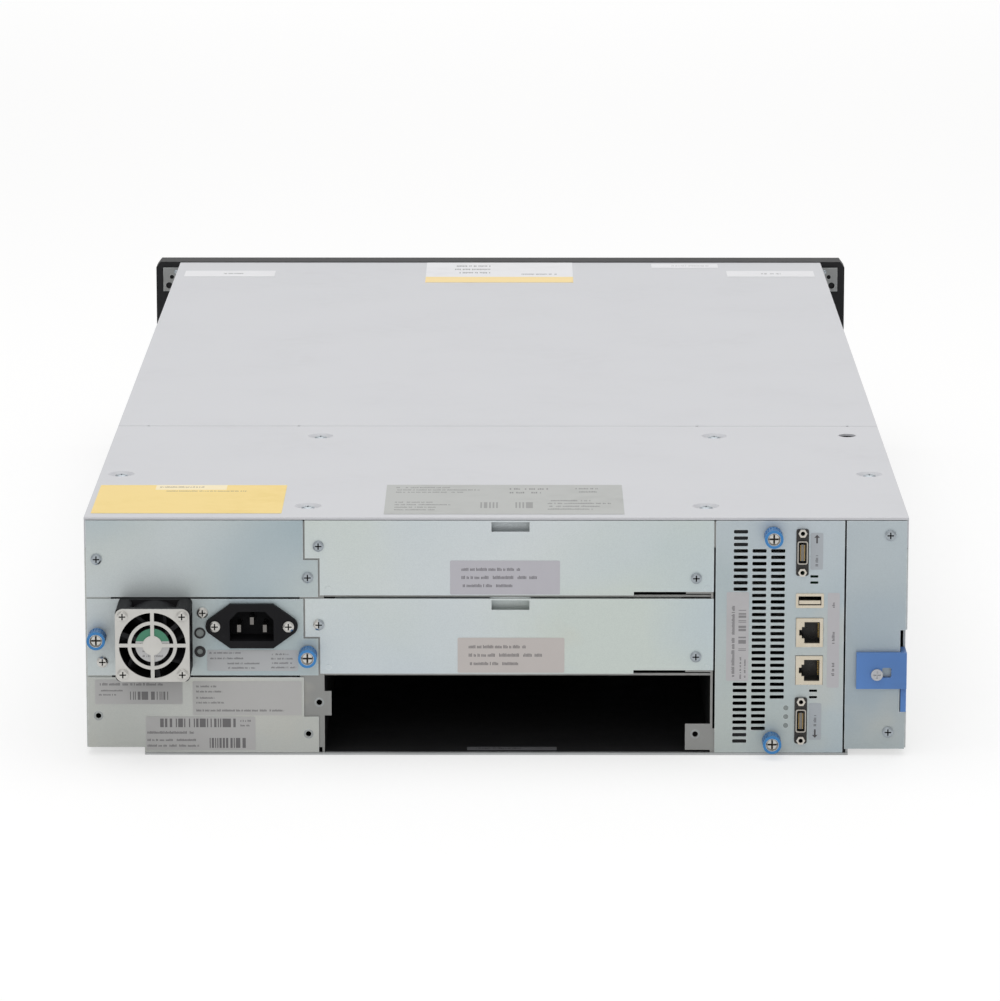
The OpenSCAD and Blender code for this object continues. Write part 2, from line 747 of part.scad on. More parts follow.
/* ---------- power supply ---------- */

module supply_panel() {
    z0 = supply_z(1);
    color("lightsteelblue") at_rear() {
        plate(t) difference() {
            supply_outline(1, z0);
            translate([outer_screw_x, row_z(1) + thumb_outer_z]) circle(clear_r);
            translate([inner_screw_x, row_z(1) + thumb_inner_z]) circle(clear_r);
            translate([fan_x, fan_z]) circle(d = fan_bore);
            translate([inlet_x, inlet_z]) rect([-inlet_hole_w / 2, inlet_hole_w / 2] * 1.01,
                                               [-inlet_hole_h / 2, inlet_hole_h / 2] * 1.01);
            for (s = [-1, 1]) translate([inlet_x + s * inlet_screw_pitch / 2, inlet_z]) circle(clear_r);
            for (z = supply_light_z) translate([supply_light_x, z]) circle(d = supply_light_d);
            for (i = [0, 1]) translate([case_screw_x[i], case_screw_z[i]]) circle(clear_r);
        }
    }
}

// Sheet metal case behind the supply panel, open to the fan, with slots at its inner end
module supply_case() {
    x0 = supply_x0 + 12;
    x1 = supply_x1 - 15;
    z0 = supply_z(1) + 0.9;
    z1 = supply_z(1) + supply_panel_h - 0.9;
    color("silver") at_rear() difference() {
        box([x0, x1], [-supply_case_d, -t], [z0, z1]);
        box([x0 + 1, x1 - 1], [-supply_case_d + 1, 0], [z0 + 1, z1 - 1]);
        for (k = [0:8])
            box([x0 + 14 + k * 9, x0 + 18 + k * 9], [-supply_case_d - 1, -supply_case_d + 2], [z0 + 8, z1 - 8]);
    }
}

// Supply board and upright controller board with their parts, and the operator panel's board
module circuit_boards() {
    x0 = supply_x0 + 14;
    x1 = supply_x1 - 17;
    z0 = supply_z(1) + 1.9;
    color("darkgreen") at_rear() {
        box([x0, x1], [-supply_case_d + 4, -30], [z0, z0 + 1.6]);
        box([x0 + 8, x0 + 44], [-190, -150], [z0 + 1.6, z0 + 30]);
        box([x0 + 56, x0 + 66], [-200, -60], [z0 + 1.6, z0 + 30]);
        for (y = [-120, -92, -64]) translate([x0 + 24, y, z0 + 1.6]) cylinder(r = 11, h = 30);
        for (y = [-180, -130, -80]) translate([x0 + 82, y, z0 + 1.6]) cylinder(r = 7, h = 22);
        box([board_x - 1.6, board_x], [-200, -2 * t - 0.1], [16, 114]);
        box([board_x, board_x + 6], [-150, -110], [50, 90]);
        box([board_x, board_x + 3], [-90, -60], [24, 50]);
        box([board_x, board_x + 3], [-90, -60], [66, 92]);
        box([board_x - 1.6, board_x + 12], [-200, -188], [40, 96]);
        box([-operator_w / 2 + 12, operator_w / 2 - 12], [panel_y + key_board_y, panel_y + key_board_y + 1.6],
            [20, bezel_h - 20]);
        for (sx = [-1, 1], z = [26, bezel_h - 24])
            rod_y(3, sx * (operator_w / 2 - 16), z, panel_y + 2, panel_y + key_board_y);
    }
}

// Body of the three-pin inlet: flange that tapers to two round ears, and the shrouded recess
module inlet() {
    ear_r = (inlet_w - inlet_screw_pitch) / 2;
    color([0.1, 0.1, 0.11]) at_rear() translate([inlet_x, 0, inlet_z]) difference() {
        union() {
            plate(inlet_flange_t, inlet_flange_t) difference() {
                hull() {
                    square([inlet_w - 26.6, inlet_h], center = true);
                    for (s = [-1, 1]) translate([s * inlet_screw_pitch / 2, 0]) circle(ear_r);
                }
                for (s = [-1, 1]) translate([s * inlet_screw_pitch / 2, 0]) circle(clear_r);
            }
            plate(inlet_depth) square([inlet_hole_w, inlet_hole_h], center = true);
        }
        plate(inlet_recess_d + eps, inlet_flange_t + eps)
            polygon([[-12, -8.2], [12, -8.2], [12, 3.4], [7.4, 8.2], [-7.4, 8.2], [-12, 3.4]]);
    }
}

module inlet_pins() {
    color("silver") at_rear() translate([inlet_x, 0, inlet_z])
        for (p = [[-7, -2], [0, 2.2], [7, -2]]) box([p[0] - 1, p[0] + 1], [-15, -1], [p[1] - 2, p[1] + 2]);
}

// Fan housing: round duct between two square flanges, with struts and the motor's base on its outer side
module fan_frame() {
    hub_r = 9.4;
    flange_l = 4.5;
    corner = fan_size - fan_screw_pitch;
    color([0.13, 0.13, 0.14]) at_rear() translate([fan_x, 0, fan_z]) {
        difference() {
            union() {
                plate(fan_t, fan_t) circle(d = fan_size - 0.4);
                for (sx = [-1, 1], sz = [-1, 1]) translate([sx, 0, sz] * fan_screw_pitch / 2)
                    plate(fan_t, fan_t) soft_rect(corner, corner, 2.5);
                for (y = [flange_l, fan_t]) plate(flange_l, y) soft_rect(fan_size, fan_size, 2.5);
            }
            rod_y(fan_bore / 2, 0, 0, -1, fan_t + 1);
            for (sx = [-1, 1], sz = [-1, 1])
                rod_y(clear_r, sx * fan_screw_pitch / 2, sz * fan_screw_pitch / 2, -1, fan_t + 1);
        }
        plate(2.5, fan_t) {
            circle(hub_r);
            for (a = [20, 140, 260]) rotate(a)
                translate([hub_r - 1, -1.2]) square([fan_bore / 2 - hub_r + 2, 2.4]);
        }
        rod_y(2, 0, 0, fan_t - 12, fan_t - 2);
    }
}

// Hub and pitched blades, running on the housing's bearing post
module fan_rotor() {
    hub_r = 9;
    tip_r = fan_bore / 2 - 0.6;
    y0 = 2;
    y1 = fan_t - 3;
    color([0.1, 0.1, 0.11]) at_rear() translate([fan_x, 0, fan_z]) difference() {
        union() {
            rod_y(hub_r, 0, 0, y0, y1);
            for (k = [0:fan_blades - 1]) intersection() {
                rod_y(tip_r, 0, 0, y0 + 0.5, y1 - 0.5);
                rotate([0, k * 360 / fan_blades, 0]) translate([0, (y0 + y1) / 2, 0]) rotate([0, 0, 32])
                    translate([-0.7, -14, hub_r - 2]) cube([1.4, 28, tip_r]);
            }
        }
        rod_y(2 + bearing_gap, 0, 0, fan_t - 12.5, fan_t);
    }
}

// Wire guard stamped from sheet: frame, two rings, cross and hub disc
module fan_guard() {
    color("silver") at_rear() translate([fan_x, 0, fan_z]) plate(guard_t, fan_t + guard_t) {
        difference() {
            soft_rect(fan_size, fan_size, 4);
            circle(d = 36);
            for (sx = [-1, 1], sz = [-1, 1])
                translate([sx * fan_screw_pitch / 2, sz * fan_screw_pitch / 2]) circle(clear_r);
        }
        difference() {
            circle(d = 26.6);
            circle(d = 22.8);
        }
        circle(d = 10.6);
        for (a = [0, 90]) rotate(a) square([37, 2], center = true);
    }
}

// Knurled captive screw along +y
module thumbscrew(x, z) {
    ribs = 20;
    color("steelblue") at_rear() translate([x, 0, z]) difference() {
        union() {
            rod_y(thumb_d / 2, 0, 0, 1.4, 0.3 + thumb_l);
            rod_y(thumb_d / 2 - 1.2, 0, 0, slide_gap, 1.5);
            rod_y(screw_d / 2, 0, 0, -8, 1);
        }
        for (k = [0:ribs - 1]) rotate([0, k * 360 / ribs, 0])
            box([thumb_d / 2 - 0.35, thumb_d / 2 + 1], [2.4, thumb_l - 0.8], [-0.35, 0.35]);
        translate([0, 0.3 + thumb_l, 0]) rotate([-90, 0, 0]) {
            translate([0, 0, -1.2]) cylinder(r1 = 2.6, r2 = 3.4, h = 1.3);
            translate([0, 0, -1.1]) cross_recess(5, 2);
        }
    }
}

module supply_thumbscrew_outer() {
    thumbscrew(outer_screw_x, row_z(1) + thumb_outer_z);
}

module supply_thumbscrew_inner() {
    thumbscrew(inner_screw_x, row_z(1) + thumb_inner_z);
}

module controller_thumbscrew_upper() {
    thumbscrew(control_thumb_x, control_thumb_z[0]);
}

module controller_thumbscrew_lower() {
    thumbscrew(control_thumb_x, control_thumb_z[1]);
}

/* ---------- controller ---------- */

// Panel with three columns of vent slots and the openings for its sockets
module controller_panel() {
    color("lightsteelblue") at_rear() plate(t) difference() {
        rect([control_x0, control_x1], [t + 0.2, panel_top]);
        for (run = vent_runs, k = [run[1]:run[2]])
            translate([vent_x - run[0] * vent_column_pitch, vent_top - k * vent_pitch])
                soft_rect(vent_w, vent_h, 0.6);
        for (z = control_thumb_z) translate([control_thumb_x, z]) circle(clear_r);
        for (z = control_light_z) translate([control_light_x, z]) circle(d = control_light_d);
        for (z = port_z) translate([port_x, z]) soft_rect(6.2, 13.4, 1);
        for (z = port_z, s = [-1, 1]) translate([port_x, z + s * port_screw_pitch / 2]) circle(1.6);
        for (z = network_z) translate([network_x, z]) square([network_h + 0.4, network_w + 0.4], center = true);
        translate([network_x, usb_z]) square([usb_w - 1.2, usb_h - 1.2], center = true);
        for (z = [99.6, 96.2, 36, 32.4]) translate([port_x - 6.6, z]) soft_rect(4.4, 1.4, 0.4);
    }
}

// Two narrow module link sockets with their jack posts
module module_ports() {
    color("silver") at_rear() for (z = port_z) translate([port_x, 0, z]) {
        plate(0.8, 0.8) difference() {
            soft_rect(6.8, port_h, 1.2);
            soft_rect(4.4, 11.6, 1);
            for (s = [-1, 1]) translate([0, s * port_screw_pitch / 2]) circle(1.2);
        }
        plate(11, 2) difference() {
            soft_rect(5.6, 12.8, 1.2);
            soft_rect(4.4, 11.6, 0.8);
        }
        plate(7, -2) soft_rect(5, 12, 0.6);
        plate(9, 1.4) square([1.6, 9], center = true);
        for (s = [-1, 1]) translate([0, 0.8, s * port_screw_pitch / 2]) rotate([-90, 0, 0]) difference() {
            cylinder(r = 2.4, h = 2.2, $fn = 6);
            cylinder(r = 1.2, h = 5, center = true);
        }
    }
}

// Shielded network sockets and the service socket
module port_shells() {
    color("wheat") at_rear() {
        for (z = network_z) translate([network_x, 0, z]) difference() {
            plate(14, 0.6) square([network_h, network_w], center = true);
            plate(13, 0.7) for (step = [[2.8, 5.9], [4.2, 3.2], [5.6, 1.6]])
                rect([-5.6, step[0]], [-step[1], step[1]]);
        }
        translate([network_x, 0, usb_z]) {
            difference() {
                union() {
                    plate(13, 0) square([usb_w - 1.6, usb_h - 1.6], center = true);
                    plate(0.6, 0.6) soft_rect(usb_w, usb_h, 0.8);
                }
                plate(12, 0.7) square([12.4, 5], center = true);
            }
            plate(12.4, 0.2) rect([-5.8, 5.8], [-1.9, 0.1]);
        }
    }
}

// Small lenses at the supply, the controller and the operator panel
module indicator_lights() {
    color("honeydew") at_rear() {
        for (z = supply_light_z) rod_y(supply_light_d / 2 - 0.05, supply_light_x, z, -4, -0.2);
        for (z = control_light_z) rod_y(control_light_d / 2 - 0.05, control_light_x, z, -4, -0.2);
        for (x = operator_light_x)
            rod_y(operator_light_r - 0.1, x, operator_light_z, panel_y + 0.3, panel_y + key_board_y);
    }
}

/* ---------- alignment mechanism ---------- */

module alignment_panel() {
    color("lightsteelblue") at_rear() plate(t) difference() {
        rect([align_x0, align_x1], [side_lift - 0.5, panel_top]);
        for (z = align_screw_z) translate([align_screw_x, z]) circle(clear_r);
        rect([align_x0 - 1, -half_w + 3.8], [lever_slot_z0, lever_slot_z1]);
    }
}

// Lever with a grip on the rear, a leg round the corner and a tongue down the slot
module alignment_lever() {
    z0 = lever_z;
    z1 = lever_z + lever_h;
    leg_x0 = -half_w + 0.3;
    leg_x1 = leg_x0 + lever_leg_t;
    color("steelblue") at_rear() difference() {
        union() {
            box([leg_x0, lever_x1], [slide_gap, 3.4], [z0, z1]);
            box([leg_x0, leg_x1], [-12, 3.4], [z0, z1]);
            box([leg_x0, leg_x1], [-12, slide_gap + 0.8], [lever_slot_z0 + slide_gap, z1]);
        }
        rod_y(1.8, lever_screw_x, z0 + 8.1, -1, 5);
        translate([0, 5, 0]) plate(6) translate([lever_screw_x - 5.4, z0 + 9]) soft_rect(5, 5.6, 1);
    }
}

// Flat bar inside the side wall, its riser with the alignment pin, and the lever's screw
module alignment_bar() {
    x0 = -half_w + lever_leg_t + 1.2;
    x1 = x0 + bar_t;
    z = [lever_z + 2, lever_z + lever_h - 4];
    riser_y = [align_pin_y - 6.6, align_pin_y + 6.4];
    shelf_z = seat_z - lever_travel - 3 - t;
    color("gray") at_rear() {
        box([x0, x1], [align_pin_y - 4.6, -2 * t - 1], z);
        box([-half_w + 0.3 + lever_leg_t, x1], [-11, -4], z);
        box([x0, x1], riser_y, [z[0], shelf_z]);
        box([x0, align_pin_x + 5], riser_y, [shelf_z - bar_t, shelf_z]);
        rod_z(align_pin_d / 2, align_pin_x, align_pin_y, shelf_z - 1, pin_top - 2);
        translate([align_pin_x, align_pin_y, pin_top - 2])
            cylinder(d1 = align_pin_d, d2 = align_pin_d - 3, h = 2);
        translate([lever_screw_x, 3.4, lever_z + 8.1]) rotate([-90, 0, 0]) difference() {
            cylinder(r = 3.2, h = 1.4);
            translate([0, 0, 1.4]) cross_recess(4, 0.9);
        }
    }
}

/* ---------- magazines and cartridges ---------- */

// Plastic runners under each magazine
module magazine_rails() {
    color("dimgray") at_rear() for (s = [-1, 1]) on_side(s) {
        box([mag_x0 + 2, mag_x0 + 8], [front_y + 4, mag_y1 + 12], [t, mag_z0 - slide_gap]);
        box([mag_x1 - 9, mag_x1 - 3], [front_y + 4, mag_y1 + 12], [side_lift + 2 * t, mag_z0 - slide_gap]);
        box([mag_x0 + 2, mag_x1 - 3], [mag_y1 + 1, mag_y1 + 5], [side_lift + 2 * t, mag_z0 + 6]);
    }
}

// Slots from column a to column b: back wall, uprights, floor, roof and shelves
module magazine_shell(a, b) {
    y0 = mag_y0 + a * column_pitch;
    y1 = mag_y0 + (b + 1) * column_pitch + wall_t;
    box([mag_x1 - wall_t, mag_x1], [y0, y1], [mag_z0, mag_z1]);
    for (c = [a:b + 1]) translate([0, mag_y0 + c * column_pitch, 0])
        box([mag_x0, mag_x1], [0, wall_t], [mag_z0, mag_z1]);
    box([mag_x0, mag_x1], [y0, y1], [mag_z0, slot_z]);
    box([mag_x0, mag_x1], [y0, y1], [mag_z1 - 1.4, mag_z1]);
    for (k = [1:slot_rows - 1]) difference() {
        box([mag_x0, mag_x1], [y0, y1], [slot_z + k * slot_pitch - shelf_t, slot_z + k * slot_pitch]);
        for (c = [a:b]) translate([mag_x0, column_y + c * column_pitch, slot_z + k * slot_pitch - 2 * shelf_t])
            cylinder(r = 22, h = 3 * shelf_t);
    }
}

// Tape cartridge with its waist, label recess, grip notches and hub opening
module cartridge(x, y, z) {
    translate([x, y, z]) difference() {
        union() {
            box([0, cartridge_l], [-cartridge_w / 2, cartridge_w / 2], [1, cartridge_t - 1]);
            box([1, cartridge_l - 1], [1 - cartridge_w / 2, cartridge_w / 2 - 1], [0, cartridge_t]);
        }
        box([-1, 0.6], [-39, 39], [5, cartridge_t - 5]);
        for (s = [-1, 1])
            box([4, 8], [s * (cartridge_w / 2 - 1.8), s * (cartridge_w / 2 + 1)], [4, cartridge_t - 4]);
        translate([cartridge_l / 2 + 4, 0, -eps]) cylinder(r = 17, h = 1.2);
    }
}

module cartridges(a) {
    color([0.16, 0.17, 0.2]) for (c = [a:slot_columns - 1], k = [0:slot_rows - 1])
        cartridge(cartridge_x, column_y + c * column_pitch, slot_z + k * slot_pitch);
}

// Front housing, moulded handle panel and the catch block behind it
module magazine_front() {
    color([0.12, 0.12, 0.13]) {
        difference() {
            box([mag_front_x0, mag_front_x1], [panel_y + 1, front_y - 2], [mag_front_z0, mag_front_z1]);
            box([mag_front_x0 + 14, mag_front_x1 - 14], [panel_y, panel_y + 12], [34, 58]);
            for (k = [0:6]) box([mag_front_x0 + 14, mag_front_x1 - 14], [panel_y, panel_y + 2.4],
                                [74 + k * 6, 77 + k * 6]);
        }
        difference() {
            box([mag_x0, mag_x1], [front_y - 2.5, mag_y0], [mag_z0, mag_z1]);
            box([mag_x0 + 3, mag_x1 - 3], [front_y + 2, mag_y0 - 3], [mag_z0 + 3, mag_z1 + 1]);
        }
    }
}

module left_magazine() {
    color([0.24, 0.25, 0.28]) at_rear() mirror([1, 0, 0]) magazine_shell(1, slot_columns - 1);
}

module mail_slot() {
    color([0.3, 0.32, 0.36]) at_rear() mirror([1, 0, 0]) difference() {
        magazine_shell(0, 0);
        box([mag_x0 - 1, mag_x1 + 1], [mag_y0 + column_pitch - eps, mag_y0 + column_pitch + wall_t + 1],
            [mag_z0 - 1, mag_z1 + 1]);
    }
}

module left_cartridges() {
    at_rear() mirror([1, 0, 0]) cartridges(1);
}

module left_magazine_front() {
    at_rear() mirror([1, 0, 0]) magazine_front();
}

module right_magazine() {
    color([0.24, 0.25, 0.28]) at_rear() magazine_shell(0, slot_columns - 1);
}

module right_cartridges() {
    at_rear() cartridges(0);
}

module right_magazine_front() {
    at_rear() magazine_front();
}

/* ---------- robot ---------- */

// Four upright toothed posts that the lift climbs
module corner_racks() {
    length = rack_z1 - t;
    shift = (lift_shaft_z - t);
    color("gray") at_rear() for (s = [-1, 1], y = rack_y) on_side(s)
        translate([rack_x, y + rack_depth, t]) rotate([90, 0, 0]) linear_extrude(rack_depth)
            rotate(90) rack_outline(length, 5, shift);
}

// Frame that spans the aisle: two rails, two end beams and the shafts' bearing blocks
module lift_platform() {
    block_w = lift_shaft_x + lift_shaft_d / 2 + 2.4;
    color("dimgray") at_rear() {
        for (s = [-1, 1]) on_side(s) difference() {
            union() {
                box([rail_x, rail_x + rail_w], [platform_y0, platform_y1], [rail_z0, rail_z1]);
                box([rail_x - 2, rail_x + 1], [platform_y0, platform_y1], [rail_z0, plate_z0 - slide_gap]);
            }
            box([rail_x - 1, rail_x + 2], [platform_y0 - 1, platform_y1 + 1], [plate_z1 + 0.4, rail_z1 + 1]);
        }
        for (y = [platform_y0, platform_y1 - beam_w])
            box([-rail_x - 1, rail_x + 1], [y, y + beam_w], [rail_z0, rail_z1 - 2]);
        for (s = [-1, 1], y = [platform_y0 + rack_depth + 2.5, platform_y1 - rack_depth - 10.5]) on_side(s)
            difference() {
                box([rail_x + rail_w - 1, block_w], [y, y + 8], [rail_z0, lift_shaft_z + 5]);
                rod_y(lift_shaft_d / 2 + bearing_gap, lift_shaft_x, lift_shaft_z, y - 1, y + 9);
            }
        travel_rack();
    }
}

// Toothed strip along the inner face of one rail, for the travel pinion
module travel_rack() {
    y0 = platform_y0 + beam_w + 2;
    y1 = platform_y1 - beam_w - 2;
    translate([rail_x, y0, plate_z1 + 1.2]) rotate([0, 0, 90]) linear_extrude(rail_z1 - plate_z1 - 1.4)
        rack_outline(y1 - y0, 3, carriage_y + travel_dy - y0);
}

// Gear motors that turn the two lifting shafts
module lift_motors() {
    y0 = platform_y0 + rack_depth + 13;
    color("silver") at_rear() for (s = [-1, 1]) on_side(s) {
        difference() {
            box([rail_x + rail_w - 26, lift_shaft_x + lift_shaft_d / 2 + 2.4], [y0, y0 + 9],
                [rail_z1, rail_z1 + 16]);
            box([rail_x + rail_w, lift_shaft_x + lift_shaft_d], [y0 - 1, y0 + 10],
                [rail_z1 - 1, lift_shaft_z + lift_shaft_d / 2 + 0.4]);
        }
        rod_y(motor_r, rail_x + rail_w - 16, rail_z1 + 10, y0 - 14, y0);
    }
}

// Shaft with a pinion on each end
module lift_shaft() {
    color("lightgray") translate([lift_shaft_x, 0, lift_shaft_z]) {
        rod_y(lift_shaft_d / 2, 0, 0, platform_y0 + 1, platform_y1 - 1);
        for (y = rack_y) translate([0, y + rack_depth - 1, 0]) rotate([90, 0, 0])
            linear_extrude(rack_depth - 2) gear_outline(lift_teeth);
    }
}

module left_lift_shaft() {
    at_rear() mirror([1, 0, 0]) lift_shaft();
}

module right_lift_shaft() {
    at_rear() lift_shaft();
}

// Plate that runs between the rails, with the turntable's pivot
module carriage() {
    reach = rail_x - slide_gap;
    color("slategray") at_rear() translate([0, carriage_y, 0]) {
        difference() {
            union() {
                box([-reach, reach], plate_y, [plate_z0, plate_z1]);
                box([travel_x - 14, reach - 3.5], [travel_dy - 14, plate_y[0] + 1], [plate_z0, plate_z1]);
            }
            rod_z(2 + bearing_gap, travel_x, travel_dy, plate_z0 - 1, plate_z1 + 1);
            for (a = [0:3]) rotate([0, 0, a * 90 + 45])
                translate([34, 0, plate_z0 - 1]) cylinder(r = 9, h = 5);
        }
        rod_z(pivot_r, 0, 0, plate_z0, tray_z0 + 1.2);
        rod_z(pivot_r + 5, 0, 0, plate_z0, disc_z0 - 0.3);
    }
}

// Can motor over the travel pinion, on a plate with three posts outside the tray's turning circle
module carriage_motor() {
    base = plate_z1 + 5.2;
    posts = [[-12, -11.9], [0.8, -12.3], [-3, 9.6]];
    color("silver") at_rear() translate([travel_x, carriage_y + travel_dy, 0]) {
        rod_z(motor_r, 0, 0, base + 1.6, base + 22);
        difference() {
            box([posts[0][0], posts[1][0] + 3], [posts[0][1], posts[2][1] + 3], [base, base + 1.8]);
            rod_z(tray_r + slide_gap, -travel_x, -travel_dy, base - 1, base + 3);
        }
        for (p = posts) box([p[0], p[0] + 3], [max(p[1], posts[0][1]), p[1] + 3], [plate_z1, base + 0.5]);
    }
}

// Pinion between the carriage plate and the motor, meshing with the platform's rack
module travel_pinion() {
    color("goldenrod") at_rear() translate([travel_x, carriage_y + travel_dy, 0]) {
        translate([0, 0, plate_z1 + 0.8]) linear_extrude(rail_z1 - plate_z1) gear_outline(travel_teeth);
        rod_z(2, 0, 0, plate_z0, plate_z1 + 1);
    }
}

// Turntable disc with the tray that takes a cartridge
module picker_tray() {
    hw = picker_w / 2;
    hl = picker_l / 2;
    color("darkslategray") at_rear() translate([0, carriage_y, 0]) {
        difference() {
            union() {
                rod_z(disc_r, 0, 0, disc_z0, tray_z0);
                box([-hw, hw], [-hl, hl], [tray_z0, tray_floor]);
            }
            rod_z(pivot_r + bearing_gap, 0, 0, disc_z0 - 1, tray_floor + 1);
        }
        for (s = [-1, 1]) on_side(s) {
            box([hw - tray_wall, hw], [-hl, hl], [tray_z0, tray_z1]);
            box([hw - tray_wall - 3, hw], [-hl, hl], [tray_z1 - tray_wall, tray_z1]);
        }
    }
}

// Sliding block with two hooked arms that draw a cartridge into the tray
module gripper() {
    hl = picker_l / 2;
    arm_x = cartridge_w / 2 + 0.8;
    z0 = tray_floor + slide_gap;
    color("orange") at_rear() translate([0, carriage_y, 0]) {
        box([-arm_x - arm_t, arm_x + arm_t], [-hl + 1, -hl + 1 + grip_block], [z0, z0 + 19]);
        for (s = [-1, 1]) on_side(s) {
            box([arm_x, arm_x + arm_t], [-hl + 1, hl - 2], [z0 + 5, z0 + 14]);
            box([arm_x - 1.4, arm_x + 0.2], [hl - 6, hl - 3], [z0 + 6, z0 + 13]);
        }
    }
}

/* ---------- bezel and operator panel ---------- */

// Outline of the bezel: chamfered top corners over straight ends
module bezel_outline() {
    polygon([[-bezel_w / 2, 4], [-bezel_w / 2 + 4, 0.3], [bezel_w / 2 - 4, 0.3], [bezel_w / 2, 4],
             [bezel_w / 2, bezel_h - 4], [bezel_top_w / 2, bezel_h], [-bezel_top_w / 2, bezel_h],
             [-bezel_w / 2, bezel_h - 4]]);
}

// Moulded frame with a mouth for each magazine front and rack screw holes in its ends
module bezel_frame() {
    lower = bezel_h / 2 - rack_hole_pitch / 2;
    color([0.1, 0.1, 0.11]) at_rear() difference() {
        plate(bezel_t, front_y) difference() {
            bezel_outline();
            for (s = [-1, 1])
                rect([s * (mag_front_x0 - slide_gap), s * (mag_front_x1 + slide_gap)],
                     [mag_front_z0 - slide_gap, mag_front_z1 + slide_gap]);
            for (s = [-1, 1], z = [lower, lower + rack_hole_pitch])
                translate([s * rack_hole_w / 2, z]) circle(d = rack_hole_d);
            rect([-operator_w / 2 + 8, operator_w / 2 - 8], [14, bezel_h - 14]);
        }
        plate(3, panel_y + 2) rect([-operator_w / 2, operator_w / 2], [6, bezel_h - 6]);
    }
}

// Glossy panel with the display's window and the holes for the keys and lights
module operator_panel() {
    color([0.07, 0.07, 0.08]) at_rear() difference() {
        plate(2, panel_y + 2) difference() {
            rect([-operator_w / 2, operator_w / 2], [6, bezel_h - 6]);
            for (p = button_places) translate([p[0], p[1]]) circle(button_r + slide_gap);
            for (x = operator_light_x) translate([x, operator_light_z]) circle(operator_light_r);
        }
        translate([display_x, 0, display_z])
            box([-display_w / 2, display_w / 2], [panel_y - 1, panel_y + 0.8],
                [-display_h / 2, display_h / 2]);
    }
}

module display_window() {
    color([0.2, 0.25, 0.3]) at_rear() translate([display_x, 0, display_z])
        box([0.2 - display_w / 2, display_w / 2 - 0.2], [panel_y + 0.2, panel_y + 0.8],
            [0.2 - display_h / 2, display_h / 2 - 0.2]);
}

// Round key with a stem, standing just behind the panel's face
module key(i) {
    p = button_places[i];
    color("gray") at_rear() difference() {
        union() {
            rod_y(button_r, p[0], p[1], panel_y, panel_y + 3);
            rod_y(button_r + 1, p[0], p[1], panel_y + 2.4, panel_y + 4);
        }
        rod_y(button_r - 2.5, p[0], p[1], panel_y - 1, panel_y + 0.4);
    }
}

module power_button() {
    key(0);
}

module enter_button() {
    key(1);
}

module up_button() {
    key(2);
}

module down_button() {
    key(3);
}

base_pan();
left_side_panel();
right_side_panel();
front_top_cover();
rear_top_cover();
top_screws();
bulkhead();
bay_wall_left();
bay_wall_right();
bay_shelves();
ear_brackets();
bezel_frame();
operator_panel();
display_window();
indicator_lights();
blank_cover();
spare_supply_cover();
bay_cover_upper();
bay_cover_middle();
cover_screws();
supply_panel();
supply_case();
circuit_boards();
inlet();
inlet_pins();
fan_frame();
fan_guard();
controller_panel();
module_ports();
port_shells();
alignment_panel();
corner_racks();
magazine_rails();
alignment_lever();
alignment_bar();
fan_rotor();
supply_thumbscrew_outer();
supply_thumbscrew_inner();
controller_thumbscrew_upper();
controller_thumbscrew_lower();
left_magazine();
mail_slot();
left_cartridges();
left_magazine_front();
right_magazine();
right_cartridges();
right_magazine_front();
lift_platform();
lift_motors();
left_lift_shaft();
right_lift_shaft();
carriage();
carriage_motor();
travel_pinion();
picker_tray();
gripper();
power_button();
enter_button();
up_button();
down_button();
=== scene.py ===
"""Finishes, labels, contacts and marks for a rack-mount data tape library, with its studio."""

import json
import math

import bmesh
import bpy
from bpy.props import FloatProperty, FloatVectorProperty, PointerProperty
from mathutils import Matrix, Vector


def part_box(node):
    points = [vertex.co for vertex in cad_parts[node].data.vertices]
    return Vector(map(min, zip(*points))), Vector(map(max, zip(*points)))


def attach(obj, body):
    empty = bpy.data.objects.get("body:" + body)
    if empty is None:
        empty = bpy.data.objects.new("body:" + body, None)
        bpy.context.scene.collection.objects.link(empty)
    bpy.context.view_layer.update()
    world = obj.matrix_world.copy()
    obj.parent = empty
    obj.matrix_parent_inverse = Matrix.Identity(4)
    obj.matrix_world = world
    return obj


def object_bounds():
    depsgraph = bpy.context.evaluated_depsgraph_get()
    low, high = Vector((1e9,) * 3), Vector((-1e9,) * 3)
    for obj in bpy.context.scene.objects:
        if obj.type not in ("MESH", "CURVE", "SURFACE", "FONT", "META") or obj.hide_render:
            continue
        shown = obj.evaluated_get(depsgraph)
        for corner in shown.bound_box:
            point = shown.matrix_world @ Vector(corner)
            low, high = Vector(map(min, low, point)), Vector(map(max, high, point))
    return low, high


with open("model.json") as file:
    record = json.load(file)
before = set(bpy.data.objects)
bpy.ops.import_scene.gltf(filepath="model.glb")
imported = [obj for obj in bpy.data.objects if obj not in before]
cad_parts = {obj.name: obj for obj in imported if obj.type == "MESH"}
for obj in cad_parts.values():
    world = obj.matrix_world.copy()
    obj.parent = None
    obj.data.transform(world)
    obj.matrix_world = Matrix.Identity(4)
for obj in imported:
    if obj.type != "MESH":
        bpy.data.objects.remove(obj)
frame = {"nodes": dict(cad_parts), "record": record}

bl_info = {
    "name": "Tape library dressing",
    "version": (1, 0, 0),
    "blender": (4, 5, 0),
    "location": "3D View > Sidebar > Tape library",
    "description": "Finishes, labels, contacts and studio for a rack-mount data tape library",
    "category": "Object",
}

MM = 0.001
NODES = frame["nodes"]
CAD_BOX = [list(corner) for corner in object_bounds()]
BODY_OF = {node: body for body, nodes in frame["record"]["behaviour"]["bodies"].items() for node in nodes}

# Outer faces that the labels and marks lie on
REAR_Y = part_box("supply_panel")[1].y
TOP_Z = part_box("rear_top_cover")[1].z
TRAY_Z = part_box("bay_wall_right")[0].z

